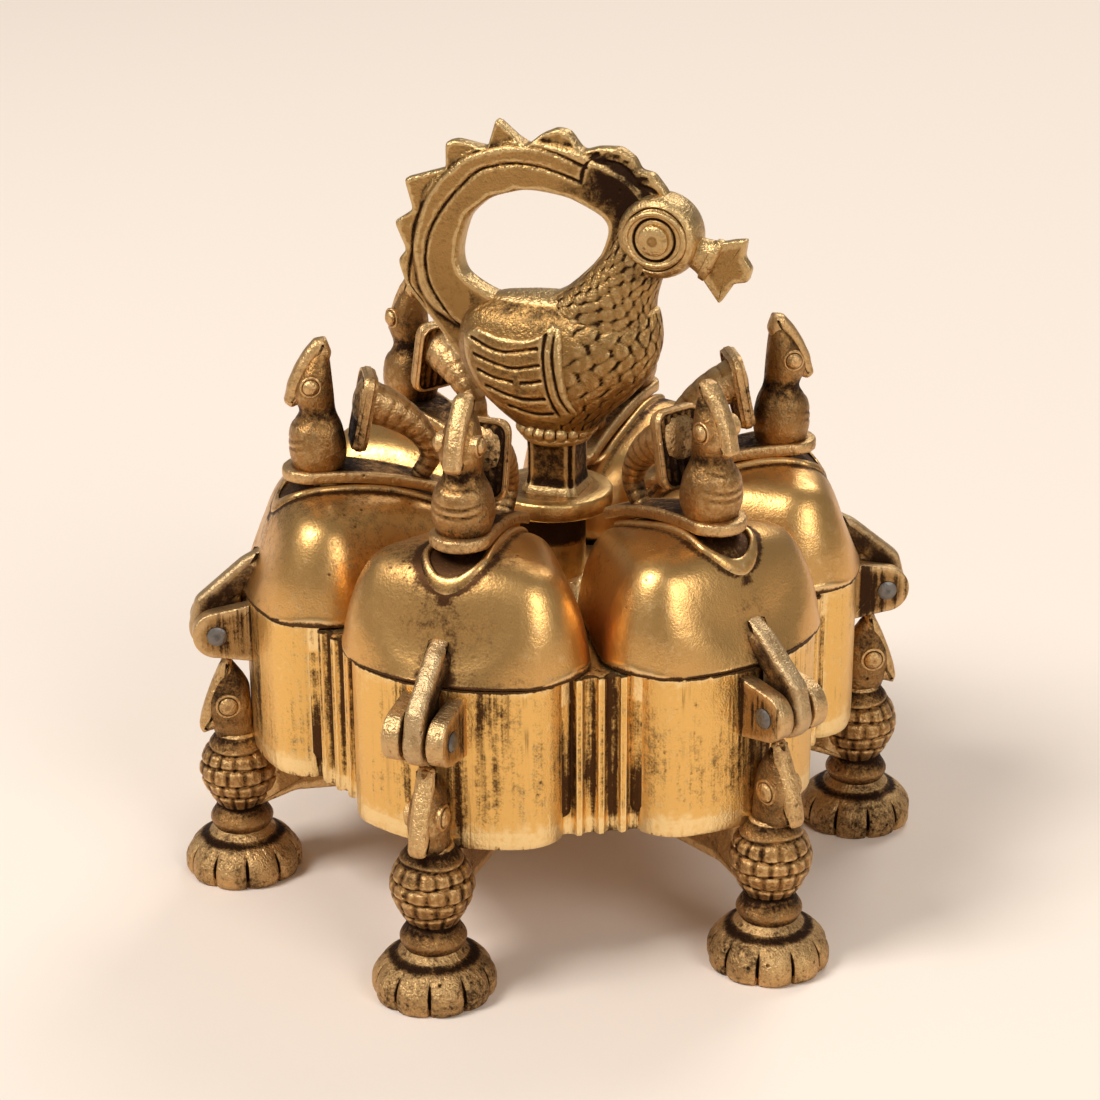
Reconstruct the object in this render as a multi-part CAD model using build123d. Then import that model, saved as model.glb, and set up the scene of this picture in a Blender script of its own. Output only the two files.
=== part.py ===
import os
from math import atan2, cos, degrees, radians, sin, sqrt

from build123d import *

# A cast brass vermilion box: six lidded cups round a peacock handle, on six bird legs.
# Millimetres. The origin is on the centre line at the floor, +Z is up.
# Each repeated piece is drawn once in its sector's own frame, +X outward and Y
# along the tangent, and is then turned to its place round the box.
# Round forms that repeat are drawn in chords, so that their tapers have flat sides.

LOBES = 6
FIRST_LOBE_TURN = -90
HALF_SECTOR = 180 / LOBES

# Box casting
body_base_z = 28.5
body_rim_z = 60.7
floor_thickness = 3.0
cup_wall = 2.5
cup_web = 4.0
cup_floor_round = 2.5
lobe_crest = 61.0
lobe_front_round = 36.0
lobe_half_width = 20.6
lobe_corner_round = 9.0
valley_apothem = 53.8
valley_core_radius = 56.0
body_edge_round = 1.2
flute_depth = 1.15
flute_radius = 1.55
flute_pitch = 4.1
flutes_per_valley = 4

# Lids
lid_gap = 0.35
lid_sector_gap = 0.7
lid_crest = 61.6
lid_corner_round = 13.0
lid_inner_round = 13.5
lid_wall = 2.0
lid_height = 20.9
lid_crown_inset = 12.2
lid_crown_round = 43.0
# Up the outside and the inside of a lid: shares of its height and of its crown inset
lid_profile = ((0, 0), (0.23, 0.21), (0.65, 0.47), (0.89, 0.75), (1, 1))
lid_hollow_profile = ((-0.1, 0), (0, 0), (0.62, 0.45), (1, 0.78))
lip_height = 0.8
lip_width = 1.7
lip_front_r = 48.5
lip_front_half_width = 6.8
lip_back_r = 24.0
lip_back_half_width = 3.9

# Hinges
hinge_reach = 6.2
hinge_drop = 7.2
hinge_r = lobe_crest + hinge_reach
hinge_z = body_rim_z - hinge_drop
pin_radius = 1.5
pin_running_clearance = 0.06
pin_fixed_clearance = 0.02
pin_head_radius = 2.0
pin_head_height = 0.6
ear_radius = 4.7
ear_thickness = 3.4
ear_root_height = 12.0
ear_drop_from_rim = 1.2
slot_half_width = 2.6
lever_side_gap = 0.7
lever_knuckle_radius = 5.2
lever_heel_reach = 3.4
lever_heel_rise = 6.1
lever_shoulder_reach = -5.7
lever_shoulder_rise = 13.9

# Bird finials on the lids, drawn from the top of their seats
seat_r = 44.0
seat_radius = 3.6
seat_height = 1.1
perch_lift = 0.3
perch_thickness = 2.3
perch_bend_radius = 75.0
perch_crown_reach = 4.5
perch_front_reach = 2.8
perch_front_half_width = 6.0
perch_back_reach = -25.0
perch_back_half_width = 2.4
fan_thickness = 2.4
fan_half_width = 5.4
fan_half_height = 7.6
fan_reach = -6.1
fan_rise = 13.3
fan_lean = 12.0
bird_eye_radius = 2.0
bird_eye_half_span = 4.6
tenon_half_width = 1.3
tenon_clearance = 0.06
tenon_head_radius = 2.6
tenon_head_height = 0.9

# Legs
leg_r = 64.0
foot_radius = 11.7
foot_height = 4.2
foot_shoulder_height = 7.4
foot_top_height = 9.6
foot_shoulder_share = 0.81
foot_top_share = 0.48
foot_petals = 10
foot_petal_cut = 1.3
leg_head_half_width = 3.5
leg_eye_radius = 1.9
leg_eye_rise = 0.7
leg_wall_clearance = 0.1
web_half_width = 3.2
web_inner_r = 28.0
web_tenon_r = 45.5

# Centre post
column_radius = 6.5
collar_radius = 11.8
collar_top_z = 78.3
collar_thickness = 3.7
collar_edge_round = 0.7
stud_radius = 2.5
stud_clearance = 0.15
nut_across_flats = 8.0
nut_thickness = 3.6
nut_clearance = 0.04
stud_end_past_nut = 1.4

# Peacock handle, drawn from the collar's top; its body stands a little ahead of the box's axis
peacock_forward = 1.0
post_half_width = 4.9
post_flute_radius = 1.1
post_flare = 1.3
bead_ring_radius = 8.0
bead_ring_rise = 12.7
bead_ring_height = 3.0
bead_depth = 0.8
bead_count = 20
tail_half_thickness = 3.4
breast_half_width = 9.4
wing_rise = 0.9
head_reach = 20.9
head_rise = 52.3
head_radius = 8.0
head_face_radius = 5.8
head_half_width = 5.4
eye_ring_radius = 5.2
eye_ring_width = 1.3
eye_ring_rise = 0.8
eye_radius = 2.6
beak_leaf_half_thickness = 1.4
beak_collar_radius = 2.3


def place(shape, lobe):
    """Turn a piece drawn in the sector frame to its place round the box."""
    return Rot(0, 0, FIRST_LOBE_TURN + lobe * 360 / LOBES) * shape


def arc(centre, radius, start, end, chords):
    """Points along an arc about a centre, from start to end in degrees."""
    turns = [radians(start + (end - start) * i / chords) for i in range(chords + 1)]
    return [(centre[0] + radius * cos(a), centre[1] + radius * sin(a)) for a in turns]


def outline(points):
    """A face inside a closed run of points."""
    return make_face(Polyline(points, close=True))


def side_plate(face, half_width):
    """A plate from a face drawn in (r, z), spread evenly to both sides."""
    return extrude(Plane.XZ * face, amount=half_width, both=True)


def flat_loft(rows):
    """A solid with flat sides through rows of matching points; a twisted side is folded once."""
    faces = [outline(rows[0]), outline(rows[-1])]
    for low, high in zip(rows, rows[1:]):
        for i in range(len(low)):
            a, b, c, d = (Vector(*p) for p in (low[i - 1], low[i], high[i], high[i - 1]))
            if abs((b - a).cross(c - a).normalized().dot(d - a)) < 1e-6:
                faces.append(outline([a, b, c, d]))
            else:
                faces += [outline([a, b, c]), outline([a, c, d])]
    return Solid(Shell(faces))


def level(points, z, share=1):
    """Plan points lifted to a height, and scaled about the axis."""
    return [(share * x, share * y, z) for x, y in points]


def rounded(half_long, half_wide, chords=2):
    """Points of a rounded rectangle, whose sides keep their directions at every size."""
    corner = 0.9 * min(half_long, half_wide)
    points = []
    for quarter, (x, y) in enumerate(((1, 1), (-1, 1), (-1, -1), (1, -1))):
        centre = (x * (half_long - corner), y * (half_wide - corner))
        points += arc(centre, corner, 90 * quarter, 90 * quarter + 90, chords)
    return points


def tower(levels, chords=2):
    """A loft up through rounded sections: height, back, front and half width of each."""
    return flat_loft([
        [((back + front) / 2 + x, y, z) for x, y in rounded((front - back) / 2, half, chords)]
        for z, back, front, half in levels
    ])


def tube(stations, chords=1):
    """A loft along stations: reach, rise, direction in degrees, half depth and half width."""
    rows = []
    for r, z, direction, deep, wide in stations:
        a = radians(direction)
        rows.append([(r + x * sin(a), y, z - x * cos(a)) for x, y in rounded(deep, wide, chords)])
    return flat_loft(rows)


def turned(profile, sides):
    """A turned form in flats, from its (height, radius) profile."""
    return flat_loft([level(arc((0, 0), radius, 0, 360, sides)[1:], z) for z, radius in profile])


def leaf(front_x, front_half, back_x, back_half):
    """A leaf or drop outline: two round ends joined by straight sides."""
    front = arc((front_x, 0), front_half, -80, 80, 8)
    back = arc((back_x, 0), back_half, 100, 260, 6)
    return outline(front + back)


def tenon(length, half_width):
    """A square tenon on +Z, burnished over into a low head at its far end."""
    shaft = Pos(0, 0, length / 2) * Box(2 * half_width, 2 * half_width, length)
    head = turned(((length, tenon_head_radius), (length + tenon_head_height, half_width)), 8)
    return shaft + head


def petal_plan(inset=0.0, gap=lid_sector_gap):
    """Points of the rounded triangle of a cup and its lid, drawn in by an even inset."""
    half = radians(HALF_SECTOR)
    front_centre = lid_crest - lobe_front_round
    inner_centre = (gap + lid_inner_round) / sin(half)
    # The corner's centre lies gap + corner round off the sector's side, and touches the front arc
    off_x = (gap + lid_corner_round) * sin(half) - front_centre
    off_y = -(gap + lid_corner_round) * cos(half)
    along = off_x * cos(half) + off_y * sin(half)
    reach = (lobe_front_round - lid_corner_round) ** 2 - off_x**2 - off_y**2
    run = -along + sqrt(along**2 + reach)
    corner = (front_centre + off_x + run * cos(half), off_y + run * sin(half))
    turn = degrees(atan2(corner[1], corner[0] - front_centre))
    square = 90 + HALF_SECTOR
    radius = lid_corner_round - inset
    points = arc((front_centre, 0), lobe_front_round - inset, -turn, turn, 8)[1:]
    points += arc(corner, radius, turn, square, 5)[1:]
    points += arc((inner_centre, 0), lid_inner_round - inset, square, 360 - square, 6)
    points += arc((corner[0], -corner[1]), radius, -square, -turn, 5)
    return points


def under_crown(drop=0.0):
    """All the room under a lid's arched crown, or under the same arch dropped by a wall."""
    chord_turn = 11
    half_chord = cos(radians(chord_turn / 2))
    centre = (seat_r, body_rim_z + lid_gap + lid_height - lid_crown_round * half_chord)
    points = arc(centre, lid_crown_round - drop / half_chord,
                 90 - 4.5 * chord_turn, 90 + 4.5 * chord_turn, 9)
    floor_z = body_rim_z - lid_height
    points += [(points[-1][0], floor_z), (points[0][0], floor_z)]
    return side_plate(outline(points), lid_crest)


def dome():
    """A lid's outer form: the petal drawn in level by level, under its arched crown."""
    base_z = body_rim_z + lid_gap
    petal = flat_loft([
        level(petal_plan(share * lid_crown_inset), base_z + rise * lid_height)
        for rise, share in lid_profile
    ])
    return petal & under_crown()


def hollow():
    """The room inside a lid, one wall in from its outer form."""
    base_z = body_rim_z + lid_gap
    petal = flat_loft([
        level(petal_plan(lid_wall + share * lid_crown_inset), base_z + rise * (lid_height - lid_wall))
        for rise, share in lid_hollow_profile
    ])
    return petal & under_crown(lid_wall)


def make_body():
    """The six-lobed casting with its cups, fluted valleys and hinge ears."""
    lobe = Pos(lobe_crest / 2) * Rectangle(lobe_crest + 10, 2 * lobe_half_width)
    lobe &= Pos(lobe_crest - lobe_front_round) * Circle(lobe_front_round)
    lobe = fillet(lobe.vertices().sort_by(Axis.X)[-2:], lobe_corner_round)
    core = RegularPolygon(valley_apothem, LOBES, major_radius=False, rotation=HALF_SECTOR)
    plan = core & Circle(valley_core_radius)
    for k in range(LOBES):
        plan += place(lobe, k)
    body = extrude(Pos(0, 0, body_base_z) * plan, amount=body_rim_z - body_base_z)
    body = chamfer(body.faces().sort_by(Axis.Z)[0].edges(), body_edge_round)

    pocket = cup()
    flute_centre = (valley_apothem + flute_radius - flute_depth, 0)
    flute = extrude(
        Pos(0, 0, body_base_z - 1) * outline(arc(flute_centre, flute_radius, 80, 280, 6)),
        amount=body_rim_z,
    )
    side = 2 * (tenon_half_width + tenon_clearance)
    tenon_hole = Pos(web_tenon_r, 0, body_base_z) * Box(side, side, 3 * floor_thickness)
    ears = hinge_ears()
    for k in range(LOBES):
        body += place(ears, k)
    for k in range(LOBES):
        body -= place(pocket, k)
        body -= place(tenon_hole, k)
        for i in range(flutes_per_valley):
            offset = (i - (flutes_per_valley - 1) / 2) * flute_pitch
            body -= place(Pos(0, offset, 0) * flute, k + 0.5)
    return body - Cylinder(stud_radius + stud_clearance, 3 * body_rim_z)


def cup():
    """The room inside one cup, with a bevelled floor edge, run out past the rim."""
    inset = lid_crest - lobe_crest + cup_wall
    gap = cup_web / 2 - inset
    floor_z = body_base_z + floor_thickness
    return flat_loft([
        level(petal_plan(inset + cup_floor_round, gap), floor_z),
        level(petal_plan(inset, gap), floor_z + cup_floor_round),
        level(petal_plan(inset, gap), body_rim_z + cup_wall),
    ])


def hinge_ears():
    """The pair of ears that stand out of a lobe and hold its hinge pin."""
    root_top = body_rim_z - ear_drop_from_rim
    root_r = lobe_crest - cup_wall / 2
    points = arc((hinge_r, hinge_z), ear_radius, -90, 75, 7)
    points += [(root_r, root_top), (root_r, root_top - ear_root_height)]
    ear = extrude(Plane.XZ * outline(points), amount=ear_thickness)
    bore = Pos(hinge_r, 0, hinge_z) * Rot(90, 0, 0) * Cylinder(
        pin_radius + pin_fixed_clearance, 4 * (slot_half_width + ear_thickness)
    )
    near = Pos(0, -slot_half_width, 0) * ear
    far = Pos(0, slot_half_width + ear_thickness, 0) * ear
    return near + far - bore


def make_lid():
    """A hollow domed lid with its hinge lever, perch seat and leaf-shaped lip."""
    crown_z = body_rim_z + lid_gap + lid_height
    ring = leaf(lip_front_r, lip_front_half_width, lip_back_r, lip_back_half_width)
    ring -= leaf(lip_front_r, lip_front_half_width - lip_width,
                 lip_back_r, lip_back_half_width - lip_width)
    fence = extrude(Pos(0, 0, crown_z - lid_height / 2) * ring, amount=lid_height)
    seat = extrude(Pos(seat_r, 0, crown_z - lid_wall / 2) * RegularPolygon(seat_radius, 12),
                   amount=lid_wall / 2 + seat_height)
    lid = dome() + (fence & Pos(0, 0, lip_height) * dome()) + seat + lever()
    side = 2 * (tenon_half_width + tenon_clearance)
    hole = Pos(seat_r, 0, crown_z) * Box(side, side, 4 * lid_wall)
    bore = Pos(hinge_r, 0, hinge_z) * Rot(90, 0, 0) * Cylinder(
        pin_radius + pin_running_clearance, 4 * slot_half_width
    )
    return lid - hollow() - hole - bore


def lever():
    """The arm that runs from the lid's front down round the hinge pin."""
    base_z = body_rim_z + lid_gap
    back_r = hinge_r - lever_knuckle_radius
    root_r = lid_crest - lid_wall
    top = (hinge_r + lever_shoulder_reach, hinge_z + lever_shoulder_rise)
    points = arc((hinge_r, hinge_z), lever_knuckle_radius, 180, 360, 9)
    points += [(hinge_r + lever_heel_reach, hinge_z + lever_heel_rise), top,
               (root_r - lid_wall, top[1] + lid_wall), (root_r, base_z), (back_r, base_z)]
    return side_plate(outline(points), slot_half_width - lever_side_gap)


def make_hinge_pin():
    """A headed pin through both ears and the lever."""
    half = slot_half_width + ear_thickness
    pin = Cylinder(pin_radius, 2 * half)
    head = extrude(RegularPolygon(pin_head_radius, 12), amount=pin_head_height)
    pin += Pos(0, 0, half) * head
    pin += Pos(0, 0, -half - pin_head_height) * head
    return Pos(hinge_r, 0, hinge_z) * Rot(90, 0, 0) * pin


def make_bird():
    """A bird finial: perch, body, upright fan, looped tail and a tenon through the lid."""
    arch_z = perch_lift - perch_bend_radius
    under = arc((perch_crown_reach, arch_z), perch_bend_radius, 120, 75, 8)
    over = arc((perch_crown_reach, arch_z), perch_bend_radius + perch_thickness, 75, 120, 8)
    plan = leaf(perch_front_reach, perch_front_half_width, perch_back_reach, perch_back_half_width)
    perch = side_plate(outline(under + over), 2 * perch_front_half_width)
    perch &= extrude(Pos(0, 0, -perch_bend_radius / 2) * plan, amount=perch_bend_radius)
    pad = extrude(RegularPolygon(seat_radius, 12), amount=perch_lift + perch_thickness / 2)
    body = tower((
        (perch_lift + perch_thickness / 2, -3.0, 6.2, 4.2),
        (5.5, -3.8, 7.2, 5.7),
        (10.0, -3.2, 6.9, 5.2),
        (13.4, -2.0, 5.0, 3.6),
        (17.2, -1.7, 6.2, 4.0),
        (21.4, -1.4, 4.6, 3.4),
        (25.0, -1.1, 2.0, 1.9),
        (26.7, -1.0, 0.2, 0.7),
    ))
    beak = side_plate(outline([(4.4, 17.8), (7.2, 15.8), (4.4, 14.0)]), 1.1)
    eyes = side_plate(Pos(2.4, 19.0) * RegularPolygon(bird_eye_radius, 10), bird_eye_half_span)
    lean = radians(fan_lean)
    fan_plane = Plane(
        origin=(fan_reach, 0, fan_rise), x_dir=(0, 1, 0), z_dir=(-cos(lean), 0, -sin(lean))
    )
    fan = fan_plane * extrude(
        outline(rounded(fan_half_width, fan_half_height, 3)), amount=fan_thickness
    )
    tail = tube((
        (-7.0, 15.2, 195, 4.4, 4.4),
        (-13.0, 12.4, 212, 3.6, 3.6),
        (-18.0, 8.0, 245, 2.7, 2.7),
        (-20.0, 3.0, 280, 2.1, 2.1),
        (-17.4, -1.4, 318, 1.8, 1.8),
    ))
    bird = perch + pad + body + beak + eyes + fan + tail
    bird += Rot(180, 0, 0) * tenon(seat_height + lid_wall, tenon_half_width)
    return Pos(seat_r, 0, body_rim_z + lid_gap + lid_height + seat_height) * bird


def make_leg():
    """A leg: petalled foot, turned neck, pot-shaped bird and the web under the box."""
    leg = foot()
    leg += turned((
        (foot_top_height - 0.6, 5.0), (11.5, 6.3), (14.6, 5.0),
        (18.0, 7.0), (22.2, 8.0), (26.6, 6.1), (30.8, 3.9),
    ), 12)
    leg += tower((
        (29.6, -3.9, 4.2, 3.6),
        (33.0, -3.6, 5.2, leg_head_half_width),
        (37.0, -3.4, 5.6, leg_head_half_width),
        (41.5, -2.4, 4.2, 2.5),
        (46.4, 0.6, 2.4, 0.7),
    ))
    leg += side_plate(outline([(4.6, 34.4), (7.4, 32.2), (4.4, 30.6)]), 1.1)
    leg += side_plate(Pos(1.2, 37.0) * RegularPolygon(leg_eye_radius, 10),
                      leg_head_half_width + leg_eye_rise)
    leg = Pos(leg_r, 0, 0) * leg
    wall = Pos(lobe_crest - lobe_front_round, 0, body_base_z) * Cylinder(
        lobe_front_round + leg_wall_clearance, body_rim_z,
        align=(Align.CENTER, Align.CENTER, Align.MIN),
    )
    leg -= wall
    web = outline([
        (leg_r - 3, body_base_z - 14), (leg_r - 11, body_base_z - 11), (leg_r - 26, body_base_z - 11),
        (web_inner_r + 2, body_base_z - 2.5), (web_inner_r, body_base_z),
        (lobe_crest - body_edge_round, body_base_z), (leg_r - 3, body_base_z - 1),
    ])
    leg += side_plate(web, web_half_width)
    leg += Pos(web_tenon_r, 0, body_base_z) * tenon(floor_thickness, tenon_half_width)
    return leg


def foot():
    """The petalled foot: a scalloped drum that draws in to the neck in two steps."""
    petal = 360 / foot_petals
    points = []
    for i in range(foot_petals):
        points += arc((0, 0), foot_radius, (i - 0.3) * petal, (i + 0.3) * petal, 1)
        points += arc((0, 0), foot_radius - foot_petal_cut, (i + 0.5) * petal, (i + 0.7) * petal, 1)[:1]
    return flat_loft([
        level(points, 0), level(points, foot_height),
        level(points, foot_shoulder_height, foot_shoulder_share),
        level(points, foot_top_height, foot_top_share),
    ])


def make_collar():
    """The turned hub: a column on the box's deck under the disc that bears the peacock."""
    disc_z = collar_top_z - collar_thickness
    bore = stud_radius + stud_clearance
    column = turned(((body_rim_z, column_radius), (disc_z, column_radius)), 24)
    disc = turned((
        (disc_z, collar_radius), (collar_top_z - collar_edge_round, collar_radius),
        (collar_top_z, collar_radius - collar_edge_round),
    ), 48)
    return column + disc - Cylinder(bore, 3 * collar_top_z)


def make_centre_nut():
    """The nut that draws the peacock's stud down under the box's floor."""
    hexagon = RegularPolygon(nut_across_flats / 2, 6, major_radius=False)
    hexagon -= Circle(stud_radius + nut_clearance)
    return extrude(Pos(0, 0, body_base_z - nut_thickness) * hexagon, amount=nut_thickness)


def make_peacock():
    """The handle: post, bead ring, full breast, ring of spiked tail, head and beak."""
    bird = peacock_tail() + peacock_breast()
    bird += tube((
        (8.0, 31.7, 70, 12.0, 6.6),
        (11.6, 38.3, 66, 8.6, 6.4),
        (14.6, 44.1, 62, 6.4, 5.8),
        (17.6, 50.7, 60, 5.8, 5.4),
        (19.2, 55.7, 80, 5.0, 4.4),
    ), chords=3)
    bird += peacock_head()
    bird += peacock_beak()
    for side in (1, -1):
        bird += peacock_wing(side)
    bird += bead_ring()
    bird += post()
    bird = Pos(peacock_forward, 0, collar_top_z) * bird
    stud_bottom = body_base_z - nut_thickness - stud_end_past_nut
    stud = Pos(0, 0, stud_bottom) * Cylinder(
        stud_radius, collar_top_z + bead_ring_rise - stud_bottom,
        align=(Align.CENTER, Align.CENTER, Align.MIN),
    )
    return bird + stud


def peacock_tail():
    """The flat tail ring: a band round an egg-shaped hole, with spikes and crest lobes."""
    spikes = [
        (-19.3, 23.6), (-24.3, 30.2), (-30.8, 37.8), (-32.4, 42.8), (-30.6, 45.0), (-33.0, 50.3),
        (-29.0, 53.0), (-30.7, 58.9), (-22.0, 61.7), (-22.0, 66.6), (-19.8, 67.3), (-13.4, 66.2),
        (-11.6, 71.9), (-5.6, 67.1),
    ]
    crest = [
        (-2.6, 69.6), (0.4, 70.9), (2.8, 70.5), (5.5, 67.0), (8.7, 68.0), (13.0, 68.2),
        (15.8, 66.5), (16.9, 64.2), (19.5, 63.8), (22.0, 60.8), (22.7, 59.2),
    ]
    foot_line = [(16.0, 47.7), (8.0, 38.7), (2.0, 27.7)]
    ring = side_plate(outline(spikes + crest + foot_line), tail_half_thickness)
    hole = [
        (-19.6, 45.6), (-17.6, 52.7), (-12.8, 56.9), (-5.3, 59.1), (2.8, 58.3), (10.1, 55.1),
        (11.5, 53.1), (9.5, 47.3), (3.7, 41.3), (-3.4, 37.7), (-12.6, 38.0), (-18.8, 41.3),
    ]
    return ring - side_plate(outline(hole), 2 * tail_half_thickness)


def peacock_breast():
    """The full egg-shaped body, lofted up through rounded sections."""
    return tower((
        (bead_ring_rise + 0.5, -8.0, 8.4, 6.4),
        (16.3, -12.0, 10.9, 8.1),
        (20.7, -16.8, 15.6, breast_half_width),
        (25.7, -19.4, 19.4, breast_half_width),
        (30.7, -19.6, 21.0, 8.8),
        (34.7, -18.0, 21.1, 7.4),
        (37.9, -13.0, 20.6, 4.6),
    ), chords=4)


def peacock_head():
    """The lens-shaped head with a ring and a button eye on both sides."""
    lens = turned(((-head_half_width, head_face_radius), (0, head_radius),
                   (head_half_width, head_face_radius)), 20)
    ring = RegularPolygon(eye_ring_radius, 12) - RegularPolygon(eye_ring_radius - eye_ring_width, 12)
    lens += extrude(ring, amount=head_half_width + eye_ring_rise, both=True)
    lens += extrude(RegularPolygon(eye_radius, 10), amount=head_half_width + 1.6 * eye_ring_rise,
                    both=True)
    return Pos(head_reach, 0, head_rise) * Rot(90, 0, 0) * lens


def peacock_beak():
    """A short collar and the flat leaf that the bird holds in its beak."""
    collar = Pos(29.4, 0, 49.3) * Rot(0, 125, 0) * Cylinder(beak_collar_radius, 4.6)
    sprig = outline([
        (26.0, 47.3), (31.6, 51.1), (35.7, 52.4), (36.9, 51.8), (36.2, 48.5),
        (37.9, 47.1), (37.6, 44.3), (34.4, 43.5), (31.5, 40.2),
    ])
    return collar + side_plate(sprig, beak_leaf_half_thickness)


def peacock_wing(side):
    """A raised wing on one flank, pointed towards the tail."""
    wing = outline([
        (-17.6, 31.3), (-11.0, 29.4), (-5.0, 29.9), (-1.0, 35.1), (1.6, 29.6), (0.8, 23.7),
        (-2.0, 20.2), (-5.6, 18.1), (-10.4, 18.8), (-14.4, 21.3), (-16.8, 26.0),
    ])
    raised = extrude(Plane.XZ * wing, amount=-side * 2 * breast_half_width)
    return raised & Pos(0, side * wing_rise, 0) * peacock_breast()


def bead_ring():
    """The rope-like ring of beads between the post and the breast."""
    pitch = 360 / bead_count
    points = []
    for i in range(bead_count):
        points += arc((0, 0), bead_ring_radius, i * pitch, i * pitch, 1)[:1]
        points += arc((0, 0), bead_ring_radius - bead_depth, (i + 0.5) * pitch, i * pitch, 1)[:1]
    return flat_loft([
        level(points, bead_ring_rise + rise * bead_ring_height, share)
        for rise, share in ((-0.5, 0.88), (-0.25, 1), (0.25, 1), (0.5, 0.88))
    ])


def post():
    """The square post with fluted corners and a flared foot."""
    square = Rectangle(2 * post_half_width, 2 * post_half_width)
    for x in (1, -1):
        for y in (1, -1):
            square -= Pos(x * post_half_width, y * post_half_width) * Circle(post_flute_radius)
    wide = 2 * (post_half_width + post_flare)
    flare = turned(((0, wide / sqrt(2)), (2 * post_flare, wide / sqrt(2) - 2 * post_flare)), 4)
    return extrude(square, amount=bead_ring_rise) + Rot(0, 0, 45) * flare


def write(shape, node):
    """Write one node's STEP file."""
    export_step(shape, f"parts/{node}.step")


def main():
    os.makedirs("parts", exist_ok=True)
    write(make_body(), "body")
    write(make_collar(), "collar")
    write(make_centre_nut(), "centre_nut")
    write(make_peacock(), "peacock_handle")
    repeated = {
        "lid": make_lid(),
        "hinge_pin": make_hinge_pin(),
        "bird": make_bird(),
        "leg": make_leg(),
    }
    for k in range(LOBES):
        for name, shape in repeated.items():
            write(place(shape, k), f"{name}_{k + 1}")


if __name__ == "__main__":
    main()
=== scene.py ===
import bpy
import numpy as np
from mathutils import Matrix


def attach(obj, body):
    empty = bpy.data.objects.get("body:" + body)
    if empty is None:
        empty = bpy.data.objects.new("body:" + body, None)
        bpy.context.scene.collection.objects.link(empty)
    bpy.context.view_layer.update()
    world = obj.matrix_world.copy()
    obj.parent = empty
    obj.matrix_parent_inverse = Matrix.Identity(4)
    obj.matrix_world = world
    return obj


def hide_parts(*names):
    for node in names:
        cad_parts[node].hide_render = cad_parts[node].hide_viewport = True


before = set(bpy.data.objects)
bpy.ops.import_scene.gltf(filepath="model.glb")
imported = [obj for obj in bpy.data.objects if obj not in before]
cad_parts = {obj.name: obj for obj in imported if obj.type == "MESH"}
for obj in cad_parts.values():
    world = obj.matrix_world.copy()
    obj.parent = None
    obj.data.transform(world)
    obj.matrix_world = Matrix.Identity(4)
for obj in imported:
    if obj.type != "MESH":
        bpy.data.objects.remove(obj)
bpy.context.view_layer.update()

# The box: one brass casting of six lobes, sand-cast and filed, with a petal-shaped cup in
# each lobe and four fluted grooves down every valley. It was worn bright on the lobes and
# keeps brown tarnish in the valleys.
mm = 0.001
base_z, rim_z = 28.5, 60.7
crest, front_round, corner_round = 61.0, 36.0, 9.0
lobe_half, valley = 20.6, 53.8
flute_round, flute_depth = 1.55, 1.15
flutes_at = (-6.15, -2.05, 2.05, 6.15)
cup_inset, cup_gap, floor_thick = 3.1, -1.1, 3.0
cup_centre = np.array([38.0, 0.0])


def arc(x, y, radius, start, end, count):
    """Points on a circle about (x, y): the angle runs evenly from start to end, in degrees."""
    a = np.radians(np.linspace(start, end, count))
    return np.stack([x + radius * np.cos(a), y + radius * np.sin(a)], -1)


def line(p, q, count):
    """Points spread evenly from p to q."""
    t = np.linspace(0, 1, count)[:, None]
    return np.asarray(p, float) * (1 - t) + np.asarray(q, float) * t


def petal(inset, gap=0.7, fine=1):
    """The petal plan, anticlockwise: front arc, corner arc, straight side, inner arc, straight
    side, corner arc. Each arc keeps its centre when the plan is drawn in by the inset."""
    tip, inner, c = 61.6, 13.5, 13.0
    fx, ix = tip - front_round, 2 * (gap + inner)
    ox, oy = (gap + c) * 0.5 - fx, -(gap + c) * np.sqrt(0.75)
    along = ox * np.sqrt(0.75) + oy * 0.5
    run = -along + np.sqrt(along**2 + (front_round - c) ** 2 - ox**2 - oy**2)
    cx, cy = fx + ox + run * np.sqrt(0.75), oy + run * 0.5
    turn = np.degrees(np.arctan2(cy, cx - fx))
    front = arc(fx, 0, front_round - inset, -turn, turn, 36 * fine)
    corner = arc(cx, cy, c - inset, turn, 120, 20 * fine)
    back = arc(ix, 0, inner - inset, 120, 240, 24 * fine)
    other = arc(cx, -cy, c - inset, -120, -turn, 20 * fine)
    side = line(corner[-1], back[0], 18 * fine)
    return np.concatenate([front[1:], corner[1:-1], side[:-1], back[:-1],
                           line(back[-1], other[0], 18 * fine)[:-1], other[:-1], front[:1]])


def weave(rows, ends="fan"):
    """Quads over a grid of rows of points whose columns wrap round. The first and last row are
    closed by a fan to the row's middle, or with ends='wrap' the last row meets the first."""
    rows = np.asarray(rows, float)
    n, m = rows.shape[:2]
    index = np.arange(n * m).reshape(n, m)
    if ends == "wrap":
        index = np.vstack([index, index[:1]])
    a, b = index[:-1], index[1:]
    quads = np.stack([a, np.roll(a, -1, 1), np.roll(b, -1, 1), b], -1).reshape(-1, 4)
    verts = rows.reshape(-1, 3)
    if ends == "wrap":
        return verts, [quads]
    first, last = index[0], index[-1]
    tris = np.concatenate([
        np.stack([np.roll(first, -1), first, np.full(m, n * m)], -1),
        np.stack([last, np.roll(last, -1), np.full(m, n * m + 1)], -1),
    ])
    return np.vstack([verts, rows[0].mean(0), rows[-1].mean(0)]), [quads, tris]


def turn(verts, lobe):
    """Points drawn in a sector's own frame, +X outward, turned to that lobe of the box."""
    a = np.radians(-90 + 60 * lobe)
    spin = np.array([[np.cos(a), -np.sin(a), 0], [np.sin(a), np.cos(a), 0], [0, 0, 1]])
    return verts @ spin.T


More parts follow.
